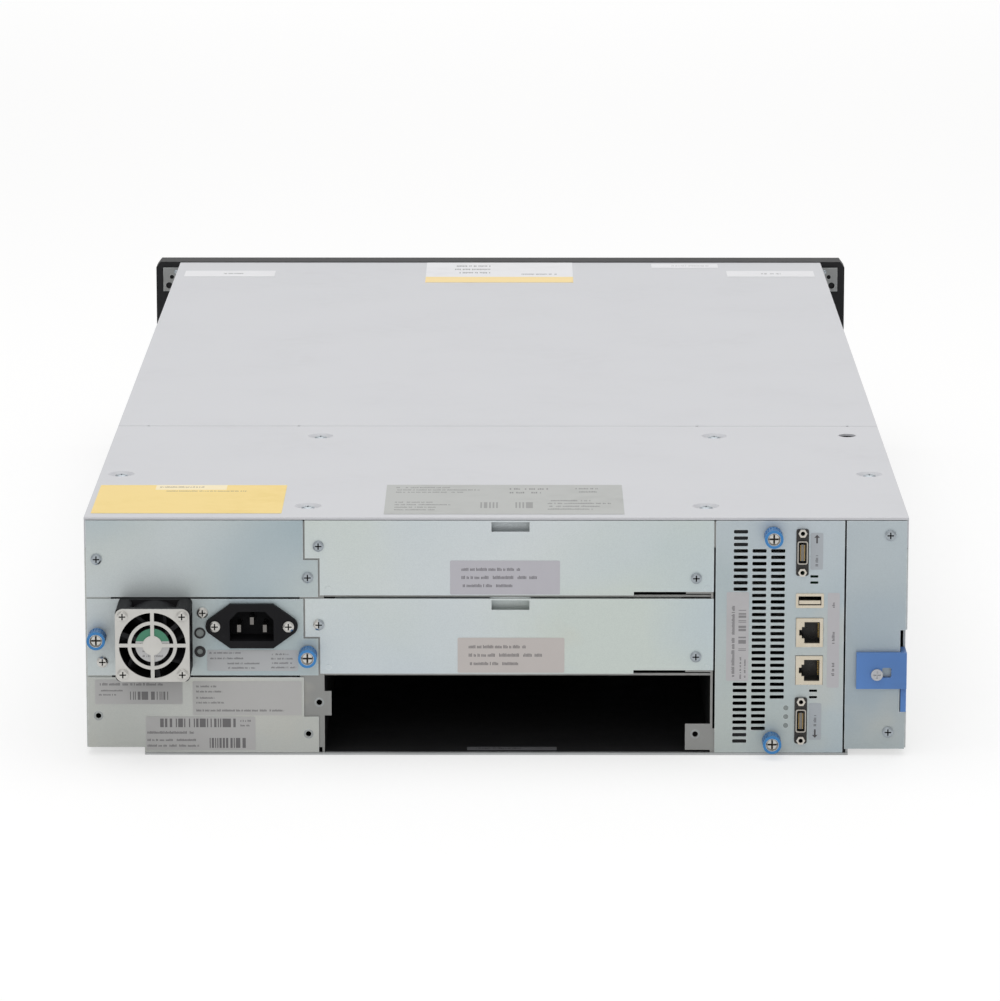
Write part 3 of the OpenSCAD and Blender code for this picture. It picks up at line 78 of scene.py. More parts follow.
# Where the rear screws' heads sit, and how high the floors of their recesses lie, in millimetres
SCREW_SEATS = (0, 3, 28)
RECESS_FLOOR = 0.6

# Screws right of the first place and above the second are on the plated covers, in metres
COVERS_FROM = (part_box("supply_panel")[0].x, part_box("supply_panel")[1].z)

# Lights of the supply, in millimetres: place across, and each one's height and collar opening
LIGHT_X = 160.8
LIGHT_COLLARS = ((68, 2.1), (57.7, 1.5))
COLLAR_STEPS = 32

# Depths on a thumbscrew from its end face: floor of its cross, end of the bare screw, start of the bare shank
THUMB_CROSS, THUMB_SCREW, THUMB_SHANK = -2.0 * MM, -5 * MM, -11.4 * MM

# A cartridge as it lies in its magazine, and the least distance from one to the next, in metres
CARTRIDGE_LENGTH, CARTRIDGE_THICKNESS, CARTRIDGE_PITCH = 0.102, 0.0215, 0.1054

# How far labels stand off their face, in metres, and how strongly printed rules show
LABEL_LIFT = 0.00003
RULE_STRENGTH = 0.72

# A face looks to the rear where its normal's part along that axis is above this
REAR_FACING = 0.9

# Colours of more than one finish
# Near-black painted as shade on sheet deep inside the body and the bays
PAINTED_SHADE_BLACK = (0.006, 0.006, 0.007)
GLOSS_BLACK = (0.010, 0.010, 0.012)

# Directions of a label's width and height, as its reader sees them
FACES = {
    "rear": (Vector((-1, 0, 0)), Vector((0, 0, 1))),
    "top": (Vector((-1, 0, 0)), Vector((0, -1, 0))),
    "top_from_front": (Vector((1, 0, 0)), Vector((0, 1, 0))),
    "front": (Vector((1, 0, 0)), Vector((0, 0, 1))),
}


# ---------- settings ----------


def colour(name, description, default):
    """A colour that a user can change."""
    return FloatVectorProperty(
        name=name, description=description, default=default, subtype="COLOR", size=3, min=0, max=1
    )


def number(name, description, default, **options):
    """A number that a user can change."""
    return FloatProperty(name=name, description=description, default=default, **options)


def length(name, description, default):
    """A length in metres that a user can change."""
    return number(name, description, default, min=0, unit="LENGTH")


class LibraryFinishSettings(bpy.types.PropertyGroup):
    cover: colour("Top covers", "Paint of the two top covers", (0.60, 0.605, 0.63))
    zinc_cool: colour("Zinc, cool", "Bluish patches of the plated sheet", (0.40, 0.485, 0.52))
    zinc_warm: colour("Zinc, warm", "Greenish and straw patches of the plated sheet", (0.56, 0.60, 0.55))
    zinc_pale: colour("Zinc, pale", "Pale patches of the plated sheet", (0.60, 0.65, 0.66))
    # Tone of the bay walls, darkened as painted shade
    dark_zinc: colour("Dark zinc", "Inner sheet metal parts", (0.27, 0.27, 0.26))
    screw: colour("Screws", "Nickel plated screws and guard", (0.62, 0.61, 0.58))
    bright_steel: colour("Bright steel", "Ground and turned steel parts", (0.50, 0.51, 0.53))
    black: colour("Black plastic", "Bezel, fan and inlet mouldings", (0.009, 0.009, 0.0105))
    slate: colour("Slate plastic", "Magazine and robot mouldings", (0.045, 0.050, 0.060))
    blue_metal: colour("Blue metal", "Anodised thumbscrew heads", (0.045, 0.20, 0.46))
    blue_plastic: colour("Blue plastic", "Alignment lever", (0.085, 0.195, 0.46))
    nickel: colour("Socket shells", "Nickel plated socket shells", (0.62, 0.55, 0.42))
    gold: colour("Contacts", "Gold plated contacts", (0.72, 0.50, 0.20))
    board: colour("Boards", "Solder mask of the circuit boards", (0.02, 0.10, 0.045))
    bloom: length("Bloom size", "Size of the coloured patches on the plated sheet", 0.085)
    grain: length("Grain size", "Size of the fine grain on the mouldings", 0.0006)


class LibraryLabelSettings(bpy.types.PropertyGroup):
    thickness: length("Thickness", "Thickness of every label", 0.00012)
    corner: length("Corner radius", "Radius of the labels' corners", 0.0008)
    grey_paper: colour("Grey paper", "Ground of the grey labels", (0.46, 0.455, 0.45))
    lilac_paper: colour("Lilac paper", "Ground of the upper bay label", (0.51, 0.50, 0.54))
    beige_paper: colour("Beige paper", "Ground of the middle bay label", (0.56, 0.52, 0.50))
    yellow_paper: colour("Yellow paper", "Ground of the wide yellow label", (0.92, 0.68, 0.21))
    white_paper: colour("White paper", "Ground of the white labels", (0.80, 0.80, 0.82))
    ink: colour("Ink", "Ink of the plain printed rules and bars", (0.07, 0.065, 0.07))


class LibraryStageSettings(bpy.types.PropertyGroup):
    distance: length("Distance", "Camera's distance behind the rear panels", 2.876)
    height: length("Height", "Camera's height above the floor", 0.7308)
    offset: number("Offset", "Camera's place across the unit", -0.0094, unit="LENGTH")
    pitch: number("Pitch", "Camera's angle from straight down", math.radians(78.42), unit="ROTATION")
    turn: number("Turn", "Camera's turn about the upright axis", math.radians(180.147), unit="ROTATION")
    lens: number("Lens", "Focal length in millimetres", 195.6, min=10)
    ambient: number("Ambient", "Strength of the even light all round", 0.60, min=0)
    softbox: number("Softbox", "Power of the overhead softbox", 20, min=0, unit="POWER")
    fill: number("Fill", "Power of the lamp beside the camera", 12.5, min=0, unit="POWER")


SETTING_GROUPS = {
    "tape_library_finish": LibraryFinishSettings,
    "tape_library_labels": LibraryLabelSettings,
    "tape_library_stage": LibraryStageSettings,
}


# ---------- node helpers ----------


def add_node(tree, kind, **values):
    """A node of that kind with its plain options set."""
    node = tree.nodes.new(kind)
    for key, value in values.items():
        setattr(node, key, value)
    return node


def feed(tree, socket, value):
    """Links an output to the socket, or sets the socket's own value."""
    if isinstance(value, bpy.types.NodeSocket):
        tree.links.new(value, socket)
    elif socket.type == "RGBA" and len(value) == 3:
        socket.default_value = (*value, 1)
    else:
        socket.default_value = value


def connect(tree, sockets, **values):
    """Feeds each named socket. Underscores in a name stand for spaces."""
    for key, value in values.items():
        feed(tree, sockets[key.replace("_", " ")], value)


def calc(tree, operation, *values, clamp=False):
    """Output of a math node on those values."""
    node = add_node(tree, "ShaderNodeMath", operation=operation, use_clamp=clamp)
    for socket, value in zip(node.inputs, values):
        feed(tree, socket, value)
    return node.outputs[0]


def blend_colour(tree, factor, first, second, mode="MIX"):
    """Colour between two colours."""
    node = add_node(tree, "ShaderNodeMix", data_type="RGBA", blend_type=mode)
    feed(tree, node.inputs[0], factor)
    feed(tree, node.inputs[6], first)
    feed(tree, node.inputs[7], second)
    return node.outputs[2]


def spread(tree, value, low, high, new_low=0.0, new_high=1.0):
    """The value's range from low to high, laid on another range."""
    node = add_node(tree, "ShaderNodeMapRange", clamp=True)
    for socket, number in zip(node.inputs, (value, low, high, new_low, new_high)):
        feed(tree, socket, number)
    return node.outputs[0]


def noise(tree, vector, scale, detail=2.0, roughness=0.5):
    """Soft noise over the vector."""
    node = add_node(tree, "ShaderNodeTexNoise")
    feed(tree, node.inputs["Vector"], vector)
    feed(tree, node.inputs["Scale"], scale)
    node.inputs["Detail"].default_value = detail
    node.inputs["Roughness"].default_value = roughness
    return node.outputs[0]


def stretched(tree, vector, scale):
    """The vector scaled along each axis, to draw patterns out."""
    node = add_node(tree, "ShaderNodeVectorMath", operation="MULTIPLY")
    feed(tree, node.inputs[0], vector)
    feed(tree, node.inputs[1], scale)
    return node.outputs[0]


def object_coordinates(tree):
    """Place on the object, in metres."""
    return add_node(tree, "ShaderNodeTexCoord").outputs["Object"]


def axes(tree, vector):
    """The vector's X, Y and Z."""
    node = add_node(tree, "ShaderNodeSeparateXYZ")
    tree.links.new(vector, node.inputs[0])
    return node.outputs


def looks_back(tree):
    """1 where a face looks to the rear."""
    normal = add_node(tree, "ShaderNodeNewGeometry").outputs["Normal"]
    return calc(tree, "GREATER_THAN", axes(tree, normal)["Y"], REAR_FACING)


def begin_group(name, inputs, outputs):
    """An empty shader group with named sockets, and its two end nodes."""
    tree = bpy.data.node_groups.new(name, "ShaderNodeTree")
    for title, kind, default in inputs:
        socket = tree.interface.new_socket(title, in_out="INPUT", socket_type=kind)
        if default is not None:
            socket.default_value = default
    for title, kind in outputs:
        tree.interface.new_socket(title, in_out="OUTPUT", socket_type=kind)
    return tree, tree.nodes.new("NodeGroupInput").outputs, tree.nodes.new("NodeGroupOutput").inputs


FLOAT, COLOUR, VECTOR = "NodeSocketFloat", "NodeSocketColor", "NodeSocketVector"


def zinc_bloom_group():
    """Soft coloured patches of passivated zinc, with a fine rolled grain."""
    tree, given, result = begin_group(
        "zinc_bloom",
        [("Vector", VECTOR, None), ("Size", FLOAT, 0.085), ("Cool", COLOUR, (0.4, 0.48, 0.54, 1)),
         ("Warm", COLOUR, (0.56, 0.6, 0.55, 1)), ("Pale", COLOUR, (0.6, 0.65, 0.68, 1)), ("Shift", FLOAT, 0.0)],
        [("Color", COLOUR), ("Roughness", FLOAT), ("Height", FLOAT)],
    )
    place = add_node(tree, "ShaderNodeVectorMath", operation="ADD")
    tree.links.new(given["Vector"], place.inputs[0])
    shift = add_node(tree, "ShaderNodeCombineXYZ")
    for socket in shift.inputs:
        tree.links.new(given["Shift"], socket)
    tree.links.new(shift.outputs[0], place.inputs[1])
    scale = calc(tree, "DIVIDE", 1.0, given["Size"])
    patches = noise(tree, place.outputs[0], scale, 1.5)
    clouds = noise(tree, place.outputs[0], calc(tree, "MULTIPLY", scale, 0.55), 2.5)
    tint = blend_colour(tree, spread(tree, patches, 0.36, 0.64), given["Cool"], given["Warm"])
    tint = blend_colour(tree, spread(tree, clouds, 0.42, 0.68), tint, given["Pale"])
    straw = noise(tree, place.outputs[0], calc(tree, "MULTIPLY", scale, 1.3), 3.0)
    tint = blend_colour(tree, spread(tree, straw, 0.60, 0.74, 0.0, 0.35), tint, (0.62, 0.58, 0.48))
    speckle = noise(tree, place.outputs[0], 1900.0, 1.0)
    tint = blend_colour(tree, spread(tree, speckle, 0.3, 0.7, 0.0, 0.10), tint, (0.30, 0.34, 0.36))
    streaks = noise(tree, stretched(tree, place.outputs[0], (60.0, 60.0, 2600.0)), 1.0, 2.0)
    connect(tree, result,
            Color=tint,
            Roughness=spread(tree, calc(tree, "ADD", streaks, speckle), 0.7, 1.3, 0.34, 0.50),
            Height=calc(tree, "ADD", streaks, calc(tree, "MULTIPLY", speckle, 0.4)))
    return tree


def fine_grain_group():
    """Fine even grain for mouldings and paint."""
    tree, given, result = begin_group(
        "fine_grain", [("Vector", VECTOR, None), ("Size", FLOAT, 0.0006)], [("Value", FLOAT), ("Patches", FLOAT)]
    )
    scale = calc(tree, "DIVIDE", 1.0, given["Size"])
    connect(tree, result,
            Value=noise(tree, given["Vector"], scale, 2.0, 0.6),
            Patches=noise(tree, given["Vector"], calc(tree, "MULTIPLY", scale, 0.012), 3.0))
    return tree


def handling_group():
    """Slight dulling and darkening where a surface has been handled."""
    tree, given, result = begin_group(
        "handling",
        [("Vector", VECTOR, None), ("Color", COLOUR, (0.5, 0.5, 0.5, 1)), ("Dirt", COLOUR, (0.3, 0.28, 0.25, 1)),
         ("Amount", FLOAT, 0.1), ("Roughness", FLOAT, 0.4)],
        [("Color", COLOUR), ("Roughness", FLOAT)],
    )
    broad = noise(tree, given["Vector"], 14.0, 4.0, 0.62)
    smudge = noise(tree, given["Vector"], 90.0, 3.0, 0.55)
    mask = calc(tree, "MULTIPLY", spread(tree, broad, 0.45, 0.72), spread(tree, smudge, 0.35, 0.7))
    amount = calc(tree, "MULTIPLY", mask, given["Amount"])
    connect(tree, result,
            Color=blend_colour(tree, amount, given["Color"], given["Dirt"]),
            Roughness=calc(tree, "ADD", given["Roughness"], calc(tree, "MULTIPLY", amount, 0.5)))
    return tree


def edge_wear_and_light_group():
    """Mask along a piece's edges, broken up as rubbed edges are; materials use it for rubbed wear and for painted
    edge highlights and shade.
    """
    tree, given, result = begin_group(
        "edge_wear_and_light", [("Vector", VECTOR, None), ("Width", FLOAT, 0.0006), ("Amount", FLOAT, 0.6)], [("Mask", FLOAT)]
    )
    soft = add_node(tree, "ShaderNodeBevel", samples=4)
    tree.links.new(given["Width"], soft.inputs["Radius"])
    hard = add_node(tree, "ShaderNodeNewGeometry")
    dot = add_node(tree, "ShaderNodeVectorMath", operation="DOT_PRODUCT")
    tree.links.new(soft.outputs[0], dot.inputs[0])
    tree.links.new(hard.outputs["Normal"], dot.inputs[1])
    edge = spread(tree, dot.outputs["Value"], 0.995, 0.85)
    broken = spread(tree, noise(tree, given["Vector"], 220.0, 3.0), 0.35, 0.6)
    connect(tree, result, Mask=calc(tree, "MULTIPLY", calc(tree, "MULTIPLY", edge, broken), given["Amount"]))
    return tree


def print_zone_group():
    """Part of a label between two corners, with its own 0 to 1 coordinates."""
    tree, given, result = begin_group(
        "print_zone",
        [("Vector", VECTOR, None), ("Low", VECTOR, (0, 0, 0)), ("High", VECTOR, (1, 1, 1))],
        [("Mask", FLOAT), ("Vector", VECTOR)],
    )
    local = add_node(tree, "ShaderNodeMapRange", data_type="FLOAT_VECTOR", clamp=False)
    tree.links.new(given["Vector"], local.inputs["Vector"])
    tree.links.new(given["Low"], local.inputs[7])
    tree.links.new(given["High"], local.inputs[8])
    split = axes(tree, local.outputs["Vector"])
    inside = None
    for axis in ("X", "Y"):
        for operation, limit in (("GREATER_THAN", 0.0), ("LESS_THAN", 1.0)):
            side = calc(tree, operation, split[axis], limit)
            inside = side if inside is None else calc(tree, "MULTIPLY", inside, side)
    connect(tree, result, Mask=inside, Vector=local.outputs["Vector"])
    return tree


def cell_noise(tree, first, second):
    """One random value for each pair of whole numbers."""
    pair = add_node(tree, "ShaderNodeCombineXYZ")
    feed(tree, pair.inputs[0], first)
    feed(tree, pair.inputs[1], second)
    node = add_node(tree, "ShaderNodeTexWhiteNoise", noise_dimensions="2D")
    tree.links.new(pair.outputs[0], node.inputs["Vector"])
    return node.outputs["Value"]


def print_rules_group():
    """Rows of plain dashes of uneven length, in place of writing."""
    tree, given, result = begin_group(
        "print_rules",
        [("Vector", VECTOR, None), ("Rows", FLOAT, 3.0), ("Dashes", FLOAT, 24.0), ("Seed", FLOAT, 0.0)],
        [("Mask", FLOAT)],
    )
    split = axes(tree, given["Vector"])
    height = calc(tree, "MULTIPLY", split["Y"], given["Rows"])
    row = calc(tree, "ADD", calc(tree, "FLOOR", height), given["Seed"])
    within = calc(tree, "FRACT", height)
    along = calc(tree, "MULTIPLY", split["X"], calc(tree, "MULTIPLY", given["Dashes"], 2.0))
    dash = calc(tree, "FLOOR", along)
    kind = cell_noise(tree, dash, row)
    top = spread(tree, kind, 0.2, 1.0, 0.60, 0.74)
    band = calc(tree, "MULTIPLY", calc(tree, "GREATER_THAN", within, 0.32), calc(tree, "LESS_THAN", within, top))
    gap = calc(tree, "GREATER_THAN", calc(tree, "FRACT", along), 0.28)
    inked = calc(tree, "MULTIPLY", calc(tree, "GREATER_THAN", kind, 0.17), gap)
    end = spread(tree, cell_noise(tree, 7.0, row), 0.0, 1.0, 0.55, 1.0)
    short = calc(tree, "LESS_THAN", split["X"], end)
    connect(tree, result, Mask=calc(tree, "MULTIPLY", calc(tree, "MULTIPLY", band, inked), short))
    return tree


def print_bars_group():
    """Upright bars of uneven width, in place of a code."""
    tree, given, result = begin_group(
        "print_bars", [("Vector", VECTOR, None), ("Bars", FLOAT, 40.0), ("Seed", FLOAT, 0.0)], [("Mask", FLOAT)]
    )
    split = axes(tree, given["Vector"])
    bar = calc(tree, "FLOOR", calc(tree, "MULTIPLY", split["X"], given["Bars"]))
    connect(tree, result, Mask=calc(tree, "GREATER_THAN", cell_noise(tree, bar, given["Seed"]), 0.48))
    return tree


GROUP_BUILDERS = {
    "zinc_bloom": zinc_bloom_group,
    "fine_grain": fine_grain_group,
    "handling": handling_group,
    "edge_wear_and_light": edge_wear_and_light_group,
    "print_zone": print_zone_group,
    "print_rules": print_rules_group,
    "print_bars": print_bars_group,
}


def place_group(tree, name, **values):
    """Outputs of a copy of a shared group in the tree, with its inputs set."""
    shared = bpy.data.node_groups.get(name) or GROUP_BUILDERS[name]()
    node = add_node(tree, "ShaderNodeGroup", node_tree=shared)
    connect(tree, node.inputs, **values)
    return node.outputs


# ---------- materials ----------


def new_material(name):
    """A material with one Principled shader, and its tree and shader."""
    material = bpy.data.materials.new(name)
    material.use_nodes = True
    tree = material.node_tree
    tree.nodes.clear()
    output = tree.nodes.new("ShaderNodeOutputMaterial")
    shader = tree.nodes.new("ShaderNodeBsdfPrincipled")
    tree.links.new(shader.outputs["BSDF"], output.inputs["Surface"])
    return material, tree, shader


def bump(tree, shader, height, strength, distance=0.0002):
    """Fine relief on the shader's normal."""
    node = add_node(tree, "ShaderNodeBump")
    node.inputs["Strength"].default_value = strength
    node.inputs["Distance"].default_value = distance
    tree.links.new(height, node.inputs["Height"])
    tree.links.new(node.outputs[0], shader.inputs["Normal"])


def finish_settings():
    return bpy.context.scene.tape_library_finish


def label_settings():
    return bpy.context.scene.tape_library_labels


def plated_sheet(name, cool, warm, pale, shift=0.0, metallic=0.55, shade_from=None):
    """Zinc plated sheet with coloured bloom and rolled grain; edges lightened as rubbed wear and painted highlight,
    and painted black as shade behind that depth.
    """
    material, tree, shader = new_material(name)
    place = object_coordinates(tree)
    bloom = place_group(
        tree, "zinc_bloom", Vector=place, Size=finish_settings().bloom, Cool=cool, Warm=warm, Pale=pale, Shift=shift
    )
    # Edges lightened as rubbed wear and painted highlight
    edge_wear_and_shading = place_group(tree, "edge_wear_and_light", Vector=place, Width=0.0007, Amount=0.7)
    colour_now = blend_colour(tree, edge_wear_and_shading["Mask"], bloom["Color"], (0.80, 0.83, 0.84))
    # Painted shade: the sheet turns black behind that depth, inside the body
    if shade_from is not None:
        deep = calc(tree, "LESS_THAN", axes(tree, place)["Y"], REAR_Y - shade_from)
        colour_now = blend_colour(tree, deep, colour_now, PAINTED_SHADE_BLACK)
    connect(tree, shader.inputs, Base_Color=colour_now, Roughness=bloom["Roughness"], Metallic=metallic)
    bump(tree, shader, bloom["Height"], 0.10)
    return material


def painted_cover(name, paint):
    """Satin powder coat with slight orange peel and handling marks."""
    material, tree, shader = new_material(name)
    place = object_coordinates(tree)
    grain = place_group(tree, "fine_grain", Vector=place, Size=0.0009)
    mottled = blend_colour(tree, spread(tree, grain["Patches"], 0.35, 0.65, 0.0, 0.08), paint, (0.50, 0.51, 0.55))
    used = place_group(tree, "handling", Vector=place, Color=mottled, Amount=0.06, Roughness=0.42)
    # Edges darkened, partly as rubbed paint and partly as painted shade along the covers' edges
    edge_wear_and_shading = place_group(tree, "edge_wear_and_light", Vector=place, Width=0.0008, Amount=0.35)
    connect(tree, shader.inputs,
            Base_Color=blend_colour(tree, edge_wear_and_shading["Mask"], used["Color"], (0.42, 0.42, 0.43)),
            Roughness=used["Roughness"])
    bump(tree, shader, grain["Value"], 0.12)
    return material


def recess_shade_mask(tree, place, floors):
    """Where a face looks to the rear at one of those depths: the recess floors that get painted shade."""
    depth = axes(tree, place)["Y"]
    mask = 0.0
    for floor in floors:
        mask = calc(tree, "MAXIMUM", mask, calc(tree, "COMPARE", depth, floor, 0.2 * MM))
    return calc(tree, "MULTIPLY", mask, looks_back(tree))


def turned_metal(name, tint, roughness, grain_scale=(900.0, 900.0, 900.0), metallic=1.0, recesses=()):
    """Bright metal with a fine directional grain, with painted shade on the floors of cross recesses."""
    material, tree, shader = new_material(name)
    place = object_coordinates(tree)
    lines = noise(tree, stretched(tree, place, grain_scale), 1.0, 3.0)
    used = place_group(
        tree, "handling", Vector=place, Color=tint, Dirt=[0.45 * part for part in tint], Amount=0.35,
        Roughness=roughness,
    )
    tone = used["Color"]
    if recesses:
        split = axes(tree, place)
        on_covers = calc(tree, "MAXIMUM", calc(tree, "LESS_THAN", split["X"], COVERS_FROM[0]),
                         calc(tree, "GREATER_THAN", split["Z"], COVERS_FROM[1]))
        tone = blend_colour(tree, on_covers, tone, (0.40, 0.44, 0.47))
        # Painted shade: near-black on the floors of the screws' cross recesses
        tone = blend_colour(tree, recess_shade_mask(tree, place, recesses), tone, (0.012, 0.012, 0.012))
    connect(tree, shader.inputs,
            Base_Color=tone,
            Roughness=calc(tree, "ADD", used["Roughness"], spread(tree, lines, 0.3, 0.7, 0.0, 0.12)),
            Metallic=metallic)
    bump(tree, shader, lines, 0.08)
    return material


def moulded_plastic(name, tint, roughness=0.5, relief=0.25, edge=(0.10, 0.10, 0.11), shine=0.3):
    """Moulded plastic with fine spark grain and edges lightened as rubbed wear and painted sheen."""
    material, tree, shader = new_material(name)
    place = object_coordinates(tree)
    grain = place_group(tree, "fine_grain", Vector=place, Size=finish_settings().grain)
    paler = [min(1.0, 1.5 * part + 0.004) for part in tint]
    cloudy = blend_colour(tree, spread(tree, grain["Patches"], 0.35, 0.7, 0.0, 0.5), tint, paler)
    used = place_group(tree, "handling", Vector=place, Color=cloudy, Dirt=(0.10, 0.095, 0.09), Amount=0.12,
                       Roughness=roughness)
    # Edges take the edge colour as rubbed wear and painted sheen
    edge_wear_and_shading = place_group(tree, "edge_wear_and_light", Vector=place, Width=0.0005, Amount=0.5)
    connect(tree, shader.inputs,
            Base_Color=blend_colour(tree, edge_wear_and_shading["Mask"], used["Color"], edge),
            Roughness=used["Roughness"],
            Specular_IOR_Level=shine)
    bump(tree, shader, grain["Value"], relief)
    return material


def gloss_plastic(name, tint, roughness=0.12, coat=0.0):
    """Polished plastic with the faintest waviness."""
    material, tree, shader = new_material(name)
    place = object_coordinates(tree)
    used = place_group(tree, "handling", Vector=place, Color=tint, Dirt=(0.12, 0.12, 0.12), Amount=0.08,
                       Roughness=roughness)
    connect(tree, shader.inputs, Base_Color=used["Color"], Roughness=used["Roughness"], Coat_Weight=coat)
    bump(tree, shader, noise(tree, place, 60.0, 1.0), 0.05, 0.001)
    return material


def clear_lens(name, tint):
    """Milky lens of a small light, unlit."""
    material, tree, shader = new_material(name)
    place = object_coordinates(tree)
    cloudy = blend_colour(tree, noise(tree, place, 700.0, 2.0), tint, [0.6 * part for part in tint])
    connect(tree, shader.inputs, Base_Color=cloudy, Roughness=0.15, Coat_Weight=0.5)
    return material


def circuit_board(name, mask):
    """Solder mask with faint traces and rows of pale pads."""
    material, tree, shader = new_material(name)
    place = object_coordinates(tree)
    traces = add_node(tree, "ShaderNodeTexBrick", offset=0.5)
    tree.links.new(place, traces.inputs["Vector"])
    traces.inputs["Scale"].default_value = 260.0
    traces.inputs["Color1"].default_value = (*mask, 1)
    traces.inputs["Color2"].default_value = (*[1.8 * part for part in mask], 1)
    traces.inputs["Mortar"].default_value = (0.05, 0.20, 0.09, 1)
    traces.inputs["Mortar Size"].default_value = 0.06
    connect(tree, shader.inputs,
            Base_Color=traces.outputs["Color"],
            Roughness=spread(tree, noise(tree, place, 300.0), 0.3, 0.7, 0.25, 0.45))
    return material


def bay_metal(name, tint, shade_from, shade_beyond=-1.0):
    """Grey plated sheet, painted black as shade behind that distance from the rear and further right than that place.
    """
    material, tree, shader = new_material(name)
    place = object_coordinates(tree)
    split = axes(tree, place)
    # Painted shade: black, less metallic and rougher deep inside the bays and beyond the controller
    deep = calc(tree, "LESS_THAN", split["Y"], REAR_Y - shade_from)
    shaded_inside = calc(tree, "MAXIMUM", deep, calc(tree, "LESS_THAN", split["X"], shade_beyond))
    bloom = place_group(
        tree, "zinc_bloom", Vector=place, Size=0.05, Cool=tint, Warm=[1.15 * part for part in tint],
        Pale=[1.3 * part for part in tint], Shift=0.3,
    )
    # Edges lightened as rubbed wear and painted highlight
    edge_wear_and_shading = place_group(tree, "edge_wear_and_light", Vector=place, Width=0.0006, Amount=0.6)
    worn_and_lit = blend_colour(tree, edge_wear_and_shading["Mask"], bloom["Color"], (0.6, 0.6, 0.58))
    connect(tree, shader.inputs,
            Base_Color=blend_colour(tree, shaded_inside, worn_and_lit, PAINTED_SHADE_BLACK),
            Metallic=calc(tree, "MULTIPLY", calc(tree, "SUBTRACT", 1.0, shaded_inside), 0.5),
            Roughness=calc(tree, "ADD", bloom["Roughness"], calc(tree, "MULTIPLY", shaded_inside, 0.3)))
    bump(tree, shader, bloom["Height"], 0.08)
    return material


def turned_up(tree, surface):
    """Label coordinates turned a quarter, for printing that runs upwards."""
    split = axes(tree, surface)
    turned = add_node(tree, "ShaderNodeCombineXYZ")
    tree.links.new(split["Y"], turned.inputs[0])
    tree.links.new(calc(tree, "SUBTRACT", 1.0, split["X"]), turned.inputs[1])
    return turned.outputs[0]


def printed_label(name, paper, zones, seed=0.0, roughness=0.45, upright=False):
    """Label stock with plain rules, bars or solid blocks inside the named zones.

    A zone is (kind, low corner, high corner, rows or bars, dashes or ink strength)."""
    material, tree, shader = new_material(name)
    surface = add_node(tree, "ShaderNodeUVMap", uv_map="label").outputs[0]
    if upright:
        surface = turned_up(tree, surface)
    place = object_coordinates(tree)
    ink = tuple(label_settings().ink)
    fibre = noise(tree, place, 1500.0, 2.0)
    sheet = blend_colour(tree, spread(tree, fibre, 0.3, 0.7, 0.0, 0.10), paper, [0.82 * part for part in paper])
    used = place_group(tree, "handling", Vector=place, Color=sheet, Dirt=[0.7 * part for part in paper], Amount=0.3,
                       Roughness=roughness)
    printed = used["Color"]
    for number, (kind, low, high, count, detail) in enumerate(zones):
        zone = place_group(tree, "print_zone", Vector=surface, Low=(*low, 0), High=(*high, 1))
        start = seed + 3.0 * number
        where = {"Vector": zone["Vector"], "Seed": start}
        marks, strength = 1.0, detail
        if kind == "rules":
            marks = place_group(tree, "print_rules", Rows=count, Dashes=detail, **where)["Mask"]
            strength = RULE_STRENGTH
        elif kind == "bars":
            marks = place_group(tree, "print_bars", Bars=count, **where)["Mask"]
        mask = calc(tree, "MULTIPLY", calc(tree, "MULTIPLY", zone["Mask"], marks), strength)
        printed = blend_colour(tree, mask, printed, kind if not isinstance(kind, str) else ink)
    connect(tree, shader.inputs, Base_Color=printed, Roughness=used["Roughness"])
    bump(tree, shader, fibre, 0.05)
    return material


def dress(material, *names):
    """Gives the material to whole nodes."""
    for name in names:
        NODES[name].data.materials.clear()
        NODES[name].data.materials.append(material)


# ---------- piece helpers ----------


def mesh_object(name, mesh, body, material):
    """A finished piece: linked, riding on its body and with its finish."""
    piece = bpy.data.objects.new(name, mesh)
    bpy.context.scene.collection.objects.link(piece)
    mesh.materials.append(material)
    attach(piece, body)
    return piece


def rounded_outline(width, height, radius, steps=5):
    """Corners of a rectangle with round corners, about its centre."""
    points = []
    for quarter, (sx, sy) in enumerate(((1, 1), (-1, 1), (-1, -1), (1, -1))):
        for step in range(steps + 1):
            angle = math.radians(90 * quarter + 90 * step / steps)
            points.append((sx * (width / 2 - radius) + radius * math.cos(angle),
                           sy * (height / 2 - radius) + radius * math.sin(angle)))
    return points


def extrude_outline(shape, outline, centre, across, up, low, high, uv_size=None):
    """A slab from an outline: it stands from low to high above the face through centre."""
    out = across.cross(up)
    rings = []
    for level in (low, high):
        rings.append([shape.verts.new(centre + across * u + up * v + out * level) for u, v in outline])
    count = len(outline)
    faces = [shape.faces.new(rings[1]), shape.faces.new(list(reversed(rings[0])))]
    for i in range(count):
        j = (i + 1) % count
        faces.append(shape.faces.new((rings[0][i], rings[0][j], rings[1][j], rings[1][i])))
    if uv_size is not None:
        layer = shape.loops.layers.uv.get("label") or shape.loops.layers.uv.new("label")
        for face in faces:
            for loop in face.loops:
                offset = loop.vert.co - centre
                loop[layer].uv = (offset.dot(across) / uv_size[0] + 0.5, offset.dot(up) / uv_size[1] + 0.5)
    return faces


def finish_mesh(name, shape):
    """Mesh from the shape, with its faces turned outwards."""
    bmesh.ops.recalc_face_normals(shape, faces=shape.faces)
    mesh = bpy.data.meshes.new(name)
    shape.to_mesh(mesh)
    shape.free()
    return mesh


def label(name, face, centre, size, material, slot=None, radius=None):
    """A thin label with round corners on the named face. centre is on the surface, sizes are in metres."""
    settings = label_settings()
    across, up = FACES[face]
    shape = bmesh.new()
    corner = settings.corner if radius is None else radius
    extrude_outline(shape, rounded_outline(*size, corner), Vector(centre), across, up,
                    LABEL_LIFT, LABEL_LIFT + settings.thickness, size)
    return mesh_object(name, finish_mesh(name, shape), "chassis", material)


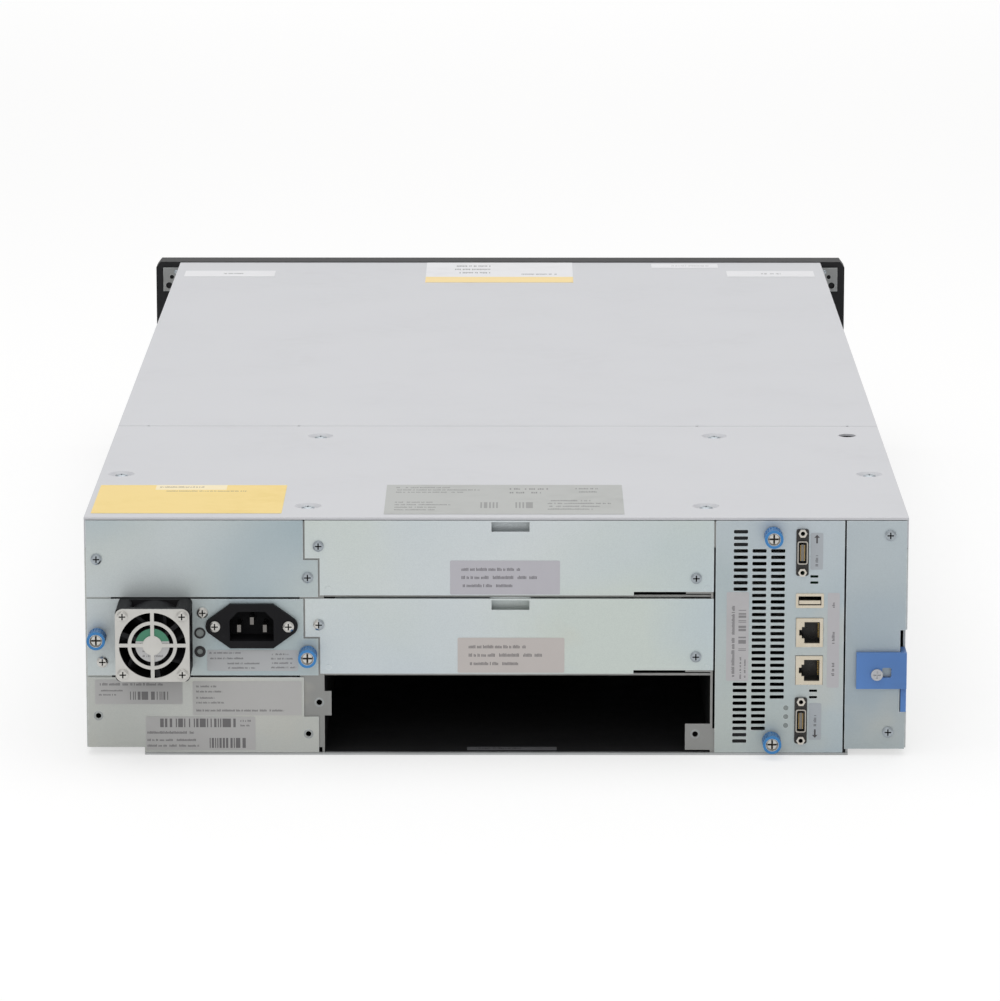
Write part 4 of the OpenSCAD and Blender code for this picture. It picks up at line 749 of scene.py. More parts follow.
def stick(name, face, patch, paper, zones, seed, stock=None, upright=False):
    """A printed label on that patch. Its stock is named after it unless another name is given."""
    material = printed_label(stock or name + "_stock", tuple(paper), zones, seed, upright=upright)
    return label(name, face, *patch, material)


def on_rear(left, right, low, high):
    """Centre and size of a patch on the rear panels, from its edges in millimetres across and up."""
    centre = Vector(((left + right) / 2 * MM, REAR_Y, (low + high) / 2 * MM))
    return centre, (abs(left - right) * MM, (high - low) * MM)


def on_top(left, right, near, far):
    """Centre and size of a patch on the top covers. near and far are millimetres forward of the rear panels."""
    centre = Vector(((left + right) / 2 * MM, REAR_Y - (near + far) / 2 * MM, TOP_Z))
    return centre, (abs(left - right) * MM, (far - near) * MM)


def add_ring(shape, centre, profile):
    """A closed ring about the axis that points to the rear, from a profile of radii and heights in millimetres."""
    across, up = FACES["rear"]
    rings = []
    for radius, level in profile:
        turns = (math.tau * k / COLLAR_STEPS for k in range(COLLAR_STEPS))
        rings.append([shape.verts.new(centre + (across * math.cos(turn) + up * math.sin(turn)) * radius * MM
                                      + Vector((0, level * MM, 0))) for turn in turns])
    for low, high in zip(rings, rings[1:] + rings[:1]):
        for k in range(COLLAR_STEPS):
            after = (k + 1) % COLLAR_STEPS
            shape.faces.new((low[k], low[after], high[after], high[k]))


# ---------- repeated pieces ----------


def begin_repeat(name, inputs):
    """A tree that takes points, those inputs and a material, and the sockets that give them."""
    tree = bpy.data.node_groups.new(name, "GeometryNodeTree")
    for title, kind in (("Geometry", "NodeSocketGeometry"), *inputs, ("Material", "NodeSocketMaterial")):
        tree.interface.new_socket(title, in_out="INPUT", socket_type=kind)
    tree.interface.new_socket("Geometry", in_out="OUTPUT", socket_type="NodeSocketGeometry")
    return tree, tree.nodes.new("NodeGroupInput").outputs


def end_repeat(tree, given, shape, links):
    """Makes those links, then stands the shape at each given point, as one mesh in the given material."""
    each = tree.nodes.new("GeometryNodeInstanceOnPoints")
    solid = tree.nodes.new("GeometryNodeRealizeInstances")
    paint = tree.nodes.new("GeometryNodeSetMaterial")
    result = tree.nodes.new("NodeGroupOutput").inputs
    for source, target in (
        *links, (given["Geometry"], each.inputs["Points"]), (shape, each.inputs["Instance"]),
        (each.outputs[0], solid.inputs[0]), (solid.outputs[0], paint.inputs["Geometry"]),
        (given["Material"], paint.inputs["Material"]), (paint.outputs[0], result[0]),
    ):
        tree.links.new(source, target)
    return each


def block_rows_tree():
    """Rows of small blocks: one row starts at each given point."""
    tree, given = begin_repeat("block_rows", (("Count", "NodeSocketInt"), ("Step", VECTOR), ("Size", VECTOR)))
    block = tree.nodes.new("GeometryNodeMeshCube")
    row = add_node(tree, "GeometryNodeMeshLine", mode="OFFSET")
    along = tree.nodes.new("GeometryNodeInstanceOnPoints")
    end_repeat(tree, given, along.outputs[0], (
        (given["Size"], block.inputs["Size"]), (given["Count"], row.inputs["Count"]),
        (given["Step"], row.inputs["Offset"]), (row.outputs[0], along.inputs["Points"]),
        (block.outputs["Mesh"], along.inputs["Instance"]),
    ))
    return tree


def stud_rows_tree():
    """Round studs with domed tops: one stands along the given axis at each given point."""
    inputs = (("Radius", FLOAT), ("Height", FLOAT), ("Turn", "NodeSocketRotation"))
    tree, given = begin_repeat("stud_rows", inputs)
    dome = tree.nodes.new("GeometryNodeMeshUVSphere")
    dome.inputs["Segments"].default_value = 16
    dome.inputs["Rings"].default_value = 8
    flatten = tree.nodes.new("GeometryNodeTransform")
    size = tree.nodes.new("ShaderNodeCombineXYZ")
    size.inputs[0].default_value = 1
    size.inputs[1].default_value = 1
    each = end_repeat(tree, given, flatten.outputs[0], (
        (calc(tree, "DIVIDE", given["Height"], given["Radius"]), size.inputs[2]),
        (given["Radius"], dome.inputs["Radius"]), (dome.outputs["Mesh"], flatten.inputs["Geometry"]),
        (size.outputs[0], flatten.inputs["Scale"]),
    ))
    tree.links.new(given["Turn"], each.inputs["Rotation"])
    return tree


TREE_BUILDERS = {"block_rows": block_rows_tree, "stud_rows": stud_rows_tree}


def repeated(name, tree_name, points, body, slot, **values):
    """A plain mesh of what the tree repeats from those points."""
    tree = bpy.data.node_groups.get(tree_name) or TREE_BUILDERS[tree_name]()
    starts = bpy.data.meshes.new(name + "_starts")
    starts.from_pydata([tuple(point) for point in points], [], [])
    piece = bpy.data.objects.new(name, starts)
    bpy.context.scene.collection.objects.link(piece)
    modifier = piece.modifiers.new("repeat", "NODES")
    modifier.node_group = tree
    for item in tree.interface.items_tree:
        if item.in_out == "INPUT" and item.name in values:
            modifier[item.identifier] = values[item.name]
    evaluated = piece.evaluated_get(bpy.context.evaluated_depsgraph_get())
    mesh = bpy.data.meshes.new_from_object(evaluated)
    mesh.name = name
    piece.modifiers.remove(modifier)
    piece.data = mesh
    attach(piece, body)
    return piece


# ---------- operators ----------


class LIBRARY_OT_stage(bpy.types.Operator):
    """Camera, floor, lamps and surroundings"""

    bl_idname = "tape_library.stage"
    bl_label = "Studio"

    def execute(self, context):
        settings = context.scene.tape_library_stage
        self.camera(context, settings)
        self.surroundings(context, settings)
        self.floor(context)
        self.lamp(context, "softbox", (0.0, 0.1, 2.3), (0.0, 0.0, 0.1), 2.4, settings.softbox)
        self.lamp(context, "rear_fill", (0.5, 3.2, 1.5), (0.0, 0.4, 0.05), 1.6, settings.fill)
        self.lamp(context, "front_fill", (0.0, -3.2, 1.4), (0.0, -0.4, 0.06), 2.6, 0.8 * settings.fill)
        context.scene.view_settings.view_transform = "Standard"
        return {"FINISHED"}

    def camera(self, context, settings):
        """Looks down at the rear from a low angle."""
        data = bpy.data.cameras.new("view_camera")
        data.lens = settings.lens
        data.sensor_width = 36
        data.clip_start = 0.05
        data.clip_end = 50
        camera = bpy.data.objects.new("view_camera", data)
        camera.location = (settings.offset, REAR_Y + settings.distance, settings.height)
        camera.rotation_euler = (settings.pitch, 0, settings.turn)
        context.scene.collection.objects.link(camera)
        context.scene.camera = camera

    def surroundings(self, context, settings):
        """White to the eye and in reflections, and an even light on the object."""
        world = context.scene.world or bpy.data.worlds.new("studio")
        context.scene.world = world
        world.use_nodes = True
        tree = world.node_tree
        tree.nodes.clear()
        seen = self.straight(tree)[0]
        light = self.source(tree, "ShaderNodeBackground", (1, 1, 1, 1), settings.ambient)
        white = self.source(tree, "ShaderNodeBackground", (1, 1, 1, 1), 1.0)
        self.mixed(tree, seen, light, white, "ShaderNodeOutputWorld")

    def straight(self, tree):
        """Mask of rays straight from the eye, and all outputs of the light path."""
        paths = tree.nodes.new("ShaderNodeLightPath").outputs
        return calc(tree, "MAXIMUM", paths["Is Camera Ray"], paths["Is Transmission Ray"]), paths

    def source(self, tree, kind, tint, strength):
        """A node that gives off light."""
        node = add_node(tree, kind)
        node.inputs["Color"].default_value = tint
        node.inputs["Strength"].default_value = strength
        return node

    def mixed(self, tree, factor, first, second, output):
        """Mixes two shaders into a new output node."""
        mix = tree.nodes.new("ShaderNodeMixShader")
        for socket, value in zip(mix.inputs, (factor, first.outputs[0], second.outputs[0])):
            tree.links.new(value, socket)
        tree.links.new(mix.outputs[0], tree.nodes.new(output).inputs["Surface"])

    def floor(self, context):
        """Pale floor that keeps a soft shadow and meets the white background."""
        shape = bmesh.new()
        bmesh.ops.create_grid(shape, x_segments=1, y_segments=1, size=14)
        mesh = finish_mesh("floor", shape)
        floor = bpy.data.objects.new("floor", mesh)
        floor.location.z = CAD_BOX[0][2] - 0.0002
        context.scene.collection.objects.link(floor)
        material = bpy.data.materials.new("floor_white")
        material.use_nodes = True
        tree = material.node_tree
        tree.nodes.clear()
        matt = add_node(tree, "ShaderNodeBsdfDiffuse")
        matt.inputs["Color"].default_value = (0.90, 0.90, 0.90, 1)
        glow = self.source(tree, "ShaderNodeEmission", (1, 0.998, 0.995, 1), 1.17)
        seen, paths = self.straight(tree)
        seen = calc(tree, "MAXIMUM", seen, calc(tree, "MULTIPLY", paths["Is Glossy Ray"], 0.5))
        self.mixed(tree, calc(tree, "MULTIPLY", seen, 0.52), matt, glow, "ShaderNodeOutputMaterial")
        mesh.materials.append(material)

    def lamp(self, context, name, place, aim, side, power):
        """Square soft lamp pointed at a place."""
        data = bpy.data.lights.new(name, "AREA")
        data.shape = "SQUARE"
        data.size = side
        data.energy = power
        lamp = bpy.data.objects.new(name, data)
        lamp.location = place
        lamp.rotation_euler = (Vector(aim) - Vector(place)).to_track_quat("-Z", "Y").to_euler()
        context.scene.collection.objects.link(lamp)


class LIBRARY_OT_sheet_metal(bpy.types.Operator):
    """Paint, zinc and steel of the body and the rear panels"""

    bl_idname = "tape_library.sheet_metal"
    bl_label = "Sheet metal"

    def execute(self, context):
        s = finish_settings()
        cool, warm, pale = tuple(s.zinc_cool), tuple(s.zinc_warm), tuple(s.zinc_pale)
        dress(painted_cover("cover_paint", tuple(s.cover)), "front_top_cover", "rear_top_cover")
        dress(plated_sheet("zinc_supply", cool, warm, pale), "blank_cover", "supply_panel")
        dress(plated_sheet("zinc_spare", (0.44, 0.46, 0.44), (0.50, 0.51, 0.47), (0.56, 0.57, 0.54), 0.4),
              "spare_supply_cover")
        dress(plated_sheet("zinc_bay", (0.55, 0.63, 0.66), (0.62, 0.68, 0.64), (0.68, 0.72, 0.75), 0.9),
              "bay_cover_upper", "bay_cover_middle")
        # The controller panel is painted black as shade deeper than 1.4 mm behind its face
        dress(plated_sheet("zinc_controller", cool, (0.50, 0.55, 0.53), (0.54, 0.60, 0.64), 1.7,
                           shade_from=1.4 * MM), "controller_panel")
        dress(plated_sheet("zinc_alignment", (0.36, 0.43, 0.48), (0.48, 0.52, 0.50), (0.52, 0.58, 0.61), 2.3),
              "alignment_panel")
        dress(plated_sheet("zinc_body", (0.42, 0.46, 0.48), (0.50, 0.52, 0.50), (0.56, 0.59, 0.60), 3.1),
              "left_side_panel", "right_side_panel", "bulkhead")
        # Tray and bay walls are painted black as shade deep inside the bays
        dress(bay_metal("zinc_tray", (0.42, 0.43, 0.43), 2.5 * MM), "base_pan")
        dress(bay_metal("zinc_bay_walls", tuple(s.dark_zinc), 4 * MM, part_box("controller_panel")[1].x),
              "bay_wall_left", "bay_wall_right", "bay_shelves")
        dress(plated_sheet("zinc_brackets", (0.26, 0.27, 0.28), (0.30, 0.30, 0.29), (0.34, 0.35, 0.35), 4.0),
              "ear_brackets", "supply_case")
        heads = [REAR_Y + (base + RECESS_FLOOR) * MM for base in SCREW_SEATS]
        dress(turned_metal("nickel_screws", tuple(s.screw), 0.24, recesses=heads), "top_screws", "cover_screws")
        dress(turned_metal("guard_steel", tuple(s.screw), 0.32, (1400.0, 1400.0, 90.0), 0.85), "fan_guard")
        steel = turned_metal("bright_steel", tuple(s.bright_steel), 0.3, (120.0, 2200.0, 2200.0))
        dress(steel, "corner_racks", "lift_platform", "lift_motors", "left_lift_shaft", "right_lift_shaft",
              "carriage", "carriage_motor", "alignment_bar")
        dress(turned_metal("gear_brass", (0.60, 0.42, 0.16), 0.3), "travel_pinion")
        return {"FINISHED"}


class LIBRARY_OT_mouldings(bpy.types.Operator):
    """Plastic of the bezel, fan, inlet, magazines and robot"""

    bl_idname = "tape_library.mouldings"
    bl_label = "Mouldings"

    def execute(self, context):
        s = finish_settings()
        black, slate = tuple(s.black), tuple(s.slate)
        dress(moulded_plastic("bezel_black", black, 0.55), "bezel_frame", "left_magazine_front",
              "right_magazine_front")
        dress(moulded_plastic("inlet_black", black, 0.62, 0.12, (0.03, 0.03, 0.033), 0.14), "inlet", "fan_frame",
              "fan_rotor")
        dress(gloss_plastic("panel_gloss", GLOSS_BLACK, 0.10, 0.6), "operator_panel")
        dress(gloss_plastic("display_glass", (0.020, 0.028, 0.040), 0.06, 1.0), "display_window")
        dress(clear_lens("lens_clear", (0.30, 0.34, 0.33)), "indicator_lights")
        dress(moulded_plastic("magazine_slate", slate, 0.5), "left_magazine", "right_magazine", "magazine_rails")
        dress(moulded_plastic("mail_slot_slate", (0.075, 0.085, 0.105), 0.5), "mail_slot")
        dress(moulded_plastic("cartridge_shell", (0.018, 0.020, 0.030), 0.42, 0.35), "left_cartridges",
              "right_cartridges")
        dress(moulded_plastic("robot_dark", (0.025, 0.035, 0.040), 0.5), "picker_tray")
        dress(moulded_plastic("gripper_grey", (0.16, 0.17, 0.18), 0.45), "gripper")
        dress(moulded_plastic("key_grey", (0.10, 0.105, 0.11), 0.6), "power_button", "enter_button", "up_button",
              "down_button")
        dress(circuit_board("board_mask", tuple(s.board)), "circuit_boards")
        return {"FINISHED"}


class LIBRARY_OT_blue_grips(bpy.types.Operator):
    """Blue of what a hand takes hold of: thumbscrews and alignment lever"""

    bl_idname = "tape_library.blue_grips"
    bl_label = "Blue grips"

    def execute(self, context):
        s = finish_settings()
        names = ("supply_thumbscrew_outer", "supply_thumbscrew_inner", "controller_thumbscrew_upper",
                 "controller_thumbscrew_lower")
        for name in names:
            dress(self.thumbscrew(name, tuple(s.blue_metal), tuple(s.screw)), name)
        lever = moulded_plastic("lever_blue", tuple(s.blue_plastic), 0.42, 0.15, (0.20, 0.34, 0.62))
        dress(lever, "alignment_lever")
        return {"FINISHED"}

    def thumbscrew(self, name, blue, bare):
        """Anodised head whose turned end face and screw are bare metal, with painted shade in its cross."""
        material, tree, shader = new_material(name + "_finish")
        low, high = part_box(name)
        place = object_coordinates(tree)
        centre = add_node(tree, "ShaderNodeVectorMath", operation="SUBTRACT")
        tree.links.new(place, centre.inputs[0])
        centre.inputs[1].default_value = ((low.x + high.x) / 2, high.y, (low.z + high.z) / 2)
        split = axes(tree, centre.outputs[0])
        flat = add_node(tree, "ShaderNodeCombineXYZ")
        tree.links.new(split["X"], flat.inputs[0])
        tree.links.new(split["Z"], flat.inputs[2])
        radius = add_node(tree, "ShaderNodeVectorMath", operation="LENGTH")
        tree.links.new(flat.outputs[0], radius.inputs[0])
        head = (high.x - low.x) / 2
        core = calc(tree, "LESS_THAN", radius.outputs["Value"], 0.70 * head)
        tip = calc(tree, "GREATER_THAN", split["Y"], THUMB_SCREW)
        shank = calc(tree, "LESS_THAN", split["Y"], THUMB_SHANK)
        metal = calc(tree, "MAXIMUM", calc(tree, "MULTIPLY", core, tip), shank)
        rings = add_node(tree, "ShaderNodeTexWave", wave_type="RINGS", rings_direction="SPHERICAL")
        tree.links.new(centre.outputs[0], rings.inputs["Vector"])
        rings.inputs["Scale"].default_value = 1600.0
        cloudy = blend_colour(tree, noise(tree, place, 400.0), blue, [1.25 * part for part in blue])
        # Painted shade: near-black on the floor of the head's cross
        cross_shade = calc(tree, "MULTIPLY", looks_back(tree), calc(tree, "LESS_THAN", split["Y"], THUMB_CROSS))
        tone = blend_colour(tree, calc(tree, "MULTIPLY", cross_shade, core), blend_colour(tree, metal, cloudy, bare),
                            (0.03, 0.028, 0.025))
        connect(tree, shader.inputs,
                Base_Color=tone,
                Metallic=spread(tree, metal, 0.0, 1.0, 0.45, 1.0),
                Roughness=spread(tree, rings.outputs["Fac"], 0.0, 1.0, 0.26, 0.38))
        return material


class LIBRARY_OT_socket_metal(bpy.types.Operator):
    """Plated shells of the sockets and their gold contacts"""

    bl_idname = "tape_library.socket_metal"
    bl_label = "Sockets"

    def execute(self, context):
        s = finish_settings()
        shell_low, shell_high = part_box("port_shells")
        dress(self.shells("socket_shell", tuple(s.nickel), shell_high.y), "port_shells")
        link_low, link_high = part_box("module_ports")
        dress(self.shells("link_shell", (0.58, 0.57, 0.55), link_high.y + 0.6 * MM), "module_ports")
        # The inlet pins get a dark tone as painted shade inside the inlet
        dress(turned_metal("shaded_pin_metal", (0.20, 0.19, 0.18), 0.22), "inlet_pins")
        gold = turned_metal("contact_gold", tuple(s.gold), 0.22)
        middle = (shell_low.x + shell_high.x) / 2
        contacts = [(middle - 5.1 * MM, shell_high.y - 9.5 * MM, (z - 3.57) * MM) for z in (68.5, 47.5)]
        repeated("network_contacts", "block_rows", contacts, "chassis", "contact_metal", Count=8,
                 Step=(0, 0, 1.02 * MM), Size=(0.5 * MM, 7 * MM, 0.45 * MM), Material=gold)
        link_x = (link_low.x + link_high.x) / 2
        fingers = [(link_x + side * 1.05 * MM, link_high.y - 3.6 * MM, (z - 4.0) * MM)
                   for z in (113, 19.5) for side in (-1, 1)]
        repeated("link_contacts", "block_rows", fingers, "chassis", "contact_metal", Count=13,
                 Step=(0, 0, 0.666 * MM), Size=(0.4 * MM, 5 * MM, 0.34 * MM), Material=gold)
        return {"FINISHED"}

    def shells(self, name, nickel, mouth_y):
        """Nickel outside and dark plastic in the depth of each socket."""
        material, tree, shader = new_material(name)
        place = object_coordinates(tree)
        deep = spread(tree, axes(tree, place)["Y"], mouth_y - 1.2 * MM, mouth_y - 2.6 * MM)
        cloudy = blend_colour(tree, noise(tree, place, 260.0, 3.0), nickel, (0.72, 0.66, 0.56))
        connect(tree, shader.inputs,
                Base_Color=blend_colour(tree, deep, cloudy, (0.02, 0.018, 0.016)),
                Metallic=spread(tree, deep, 0.0, 1.0, 0.9, 0.1),
                Roughness=spread(tree, noise(tree, place, 500.0), 0.3, 0.7, 0.25, 0.4))
        return material


class LIBRARY_OT_light_collars(bpy.types.Operator):
    """Black collars round the two lights of the power supply"""

    bl_idname = "tape_library.light_collars"
    bl_label = "Light collars"

    def execute(self, context):
        shape = bmesh.new()
        for z, opening in LIGHT_COLLARS:
            add_ring(shape, Vector((LIGHT_X * MM, REAR_Y, z * MM)),
                     ((3.1, 0.02), (3.1, 0.32), (opening, 0.32), (opening, -0.15)))
        mesh_object("light_collars", finish_mesh("light_collars", shape), "chassis",
                    gloss_plastic("collar_black", GLOSS_BLACK, 0.3))
        return {"FINISHED"}


class LIBRARY_OT_hole_rims(bpy.types.Operator):
    """Drawn rims of the threaded holes that stand empty on the rear"""

    bl_idname = "tape_library.hole_rims"
    bl_label = "Hole rims"

    def execute(self, context):
        shape = bmesh.new()
        for mount in frame["record"]["mounts"]:
            if mount["kind"] == "threaded_hole":
                mouth = Vector(mount["pos_m"]) + Vector((0, mount["dims"]["length_mm"] / 2 * MM, 0))
                add_ring(shape, mouth, ((1.58, -0.6), (1.75, 0.12), (2.3, 0.12), (2.6, 0.01), (2.3, -0.4)))
        mesh_object("hole_rims", finish_mesh("hole_rims", shape), "chassis",
                    turned_metal("rim_zinc", (0.36, 0.38, 0.38), 0.35))
        return {"FINISHED"}


class LIBRARY_OT_supply_labels(bpy.types.Operator):
    """Plain labels on the power supply and the spare supply cover"""

    bl_idname = "tape_library.supply_labels"
    bl_label = "Supply labels"

    def execute(self, context):
        s = label_settings()
        grey = s.grey_paper
        stick("supply_label", "rear", on_rear(157.0, 107.6, 46.9, 58.6), (0.47, 0.48, 0.49), [
            ("rules", (0.02, 0.76), (0.45, 0.96), 1, 22), ("rules", (0.02, 0.48), (0.62, 0.72), 1, 30),
            ("rules", (0.22, 0.04), (0.62, 0.46), 2, 26), ("rules", (0.70, 0.06), (0.98, 0.90), 4, 14)], 11)
        stick("spare_label_outer", "rear", on_rear(218.2, 170.6, 28.3, 41.9), grey, [
            ("rules", (0.04, 0.68), (0.92, 0.95), 1, 34), ("rules", (0.04, 0.30), (0.34, 0.64), 2, 12),
            ("bars", (0.40, 0.18), (0.90, 0.52), 46, 0.75)], 21)
        stick("spare_label_inner", "rear", on_rear(165.1, 105.9, 22.1, 41.2), (0.48, 0.475, 0.465), [
            ("rules", (0.03, 0.62), (0.30, 0.92), 2, 20), ("rules", (0.03, 0.30), (0.30, 0.58), 2, 20),
            ("rules", (0.03, 0.06), (0.84, 0.22), 1, 50)], 31)
        stick("spare_label_lower", "rear", on_rear(190.8, 131.1, 2.7, 21.4), grey, [
            ("bars", (0.12, 0.68), (0.82, 0.94), 64, 0.8), ("rules", (0.86, 0.66), (0.99, 0.94), 2, 6),
            ("rules", (0.01, 0.42), (0.60, 0.62), 1, 26), ("bars", (0.58, 0.06), (0.92, 0.36), 34, 0.8),
            ("rules", (0.01, 0.04), (0.50, 0.38), 2, 22)], 41)
        return {"FINISHED"}


class LIBRARY_OT_bay_labels(bpy.types.Operator):
    """Plain labels on the drive bay covers and in the open bay"""

    bl_idname = "tape_library.bay_labels"
    bl_label = "Bay labels"

    def execute(self, context):
        s = label_settings()
        words = [("rules", (0.10, 0.62), (0.86, 0.86), 1, 34), ("rules", (0.10, 0.38), (0.86, 0.62), 1, 32),
                 ("rules", (0.10, 0.14), (0.80, 0.38), 1, 30)]
        stick("bay_label_upper", "rear", on_rear(25.0, -34.5, 89.5, 108.3), s.lilac_paper, words, 51)
        stick("bay_label_middle", "rear", on_rear(21.0, -37.0, 46.0, 65.5), s.beige_paper, words, 51)
        centre = Vector((-8.5 * MM, REAR_Y - 9 * MM, TRAY_Z))
        stick("bay_floor_label", "top", (centre, (49 * MM, 7 * MM)), (0.16, 0.16, 0.17), [
            ("bars", (0.10, 0.30), (0.60, 0.75), 60, 0.8), ("rules", (0.72, 0.25), (0.96, 0.75), 1, 12)],
            61, stock="bay_floor_stock")
        return {"FINISHED"}


class LIBRARY_OT_controller_labels(bpy.types.Operator):
    """Plain labels and arrows on the controller"""

    bl_idname = "tape_library.controller_labels"
    bl_label = "Controller labels"

    def execute(self, context):
        paper = (0.50, 0.49, 0.50)
        strip = (0.42, 0.45, 0.48)
        stick("controller_code_label", "rear", on_rear(-124.8, -136.9, 41.5, 90.9), paper, [
            ("bars", (0.34, 0.12), (0.80, 0.46), 52, 0.6), ("rules", (0.02, 0.52), (0.95, 0.86), 1, 40),
            ("rules", (0.02, 0.06), (0.28, 0.46), 2, 10)], 71, stock="controller_code_stock", upright=True)
        stick("controller_strip_label", "rear", on_rear(-179.6, -186.1, 37.8, 90.5), (0.50, 0.49, 0.51), [
            ("rules", (0.12, 0.2), (0.34, 0.8), 1, 7), ("rules", (0.46, 0.2), (0.66, 0.8), 1, 7),
            ("rules", (0.84, 0.25), (0.94, 0.75), 1, 3)], 81, stock="controller_strip_stock", upright=True)
        for name, low, high, tip, start, end in (
            ("link_label_upper", 103.4, 123.7, 1, 0.08, 0.64), ("link_label_lower", 8.6, 29.1, -1, 0.36, 0.92),
        ):
            patch = on_rear(-170.0, -176.8, low, high)
            stick(name, "rear", patch, strip, [("rules", (start, 0.2), (end, 0.8), 1, 8)], 91, upright=True)
            self.arrow(name + "_arrow", patch[0] + Vector((0, 0, tip * 6.6 * MM)), tip)
        return {"FINISHED"}

    def arrow(self, name, centre, tip):
        """Plain printed arrow that points up or down."""
        across, up = FACES["rear"]
        outline = [(0, 2.6), (-1.5, 0.9), (-0.45, 0.9), (-0.45, -2.2), (0.45, -2.2), (0.45, 0.9), (1.5, 0.9)]
        points = [(u * MM, tip * v * MM) for u, v in outline]
        shape = bmesh.new()
        extrude_outline(shape, points, centre, across, up, 0.00014, 0.00018)
        material = gloss_plastic(name + "_ink", tuple(label_settings().ink), 0.5)
        mesh_object(name, finish_mesh(name, shape), "chassis", material)


class LIBRARY_OT_top_labels(bpy.types.Operator):
    """Plain labels on the two top covers"""

    bl_idname = "tape_library.top_labels"
    bl_label = "Top labels"

    def execute(self, context):
        s = label_settings()
        yellow, white, grey = s.yellow_paper, s.white_paper, (0.44, 0.45, 0.435)
        stick("yellow_label", "top", on_top(220.0, 116.5, 11, 88), yellow, [
            ((0.93, 0.80, 0.50), (0.30, 0.83), (0.68, 1.0), 1, 1.0),
            ("rules", (0.32, 0.87), (0.66, 0.98), 1, 40), ("rules", (0.36, 0.74), (0.80, 0.82), 1, 50)], 101, stock="yellow_stock")
        stick("rating_label", "top", on_top(61.0, -69.5, 9, 89), grey, [
            ("rules", (0.04, 0.70), (0.44, 0.94), 3, 40), ("rules", (0.04, 0.10), (0.30, 0.44), 4, 26),
            ("rules", (0.52, 0.66), (0.74, 0.92), 2, 12), ("bars", (0.40, 0.20), (0.62, 0.40), 30, 0.5),
            ("rules", (0.68, 0.12), (0.96, 0.50), 4, 20), ("rules", (0.80, 0.70), (0.94, 0.92), 2, 10)], 111, stock="rating_stock")
        stick("front_label", "top_from_front", on_top(51.0, -50.0, 786, 872), white, [
            ((0.93, 0.70, 0.28), (0.0, 0.72), (1.0, 1.0), 1, 1.0),
            ("rules", (0.10, 0.52), (0.42, 0.66), 1, 20), ("rules", (0.56, 0.10), (0.90, 0.60), 3, 16)], 121, stock="front_stock")
        stick("strip_label_right", "top_from_front", on_top(217.0, 155.0, 811, 836), white,
              [("rules", (0.35, 0.3), (0.62, 0.7), 1, 12)], 131, stock="strip_stock")
        stick("strip_label_left", "top_from_front", on_top(-156.0, -216.0, 811, 836), white,
              [("rules", (0.38, 0.3), (0.65, 0.7), 1, 12)], 141, stock="strip_stock_left")
        stick("small_strip_label", "top_from_front", on_top(-105.0, -151.0, 849, 866), white,
              [("rules", (0.12, 0.3), (0.86, 0.7), 1, 22)], 151, stock="small_strip_stock")
        return {"FINISHED"}


class LIBRARY_OT_fan_sticker(bpy.types.Operator):
    """Two-colour disc on the fan's motor, behind the guard"""

    bl_idname = "tape_library.fan_sticker"
    bl_label = "Fan disc"

    def execute(self, context):
        low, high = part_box("fan_frame")
        centre = Vector(((low.x + high.x) / 2, high.y, (low.z + high.z) / 2))
        across, up = FACES["rear"]
        radius = 9.2 * MM
        outline = [(radius * math.cos(math.tau * k / 48), radius * math.sin(math.tau * k / 48)) for k in range(48)]
        shape = bmesh.new()
        extrude_outline(shape, outline, centre, across, up, LABEL_LIFT, 0.00015, (2 * radius, 2 * radius))
        material = printed_label("fan_disc_stock", (0.50, 0.50, 0.50), [
            ((0.05, 0.22, 0.13), (0.0, 0.62), (1.0, 1.0), 1, 1.0), ("rules", (0.1, 0.46), (0.9, 0.60), 1, 12),
            ("rules", (0.2, 0.1), (0.85, 0.4), 2, 14)], 161, 0.3)
        mesh_object("fan_disc", finish_mesh("fan_disc", shape), "chassis", material)
        return {"FINISHED"}


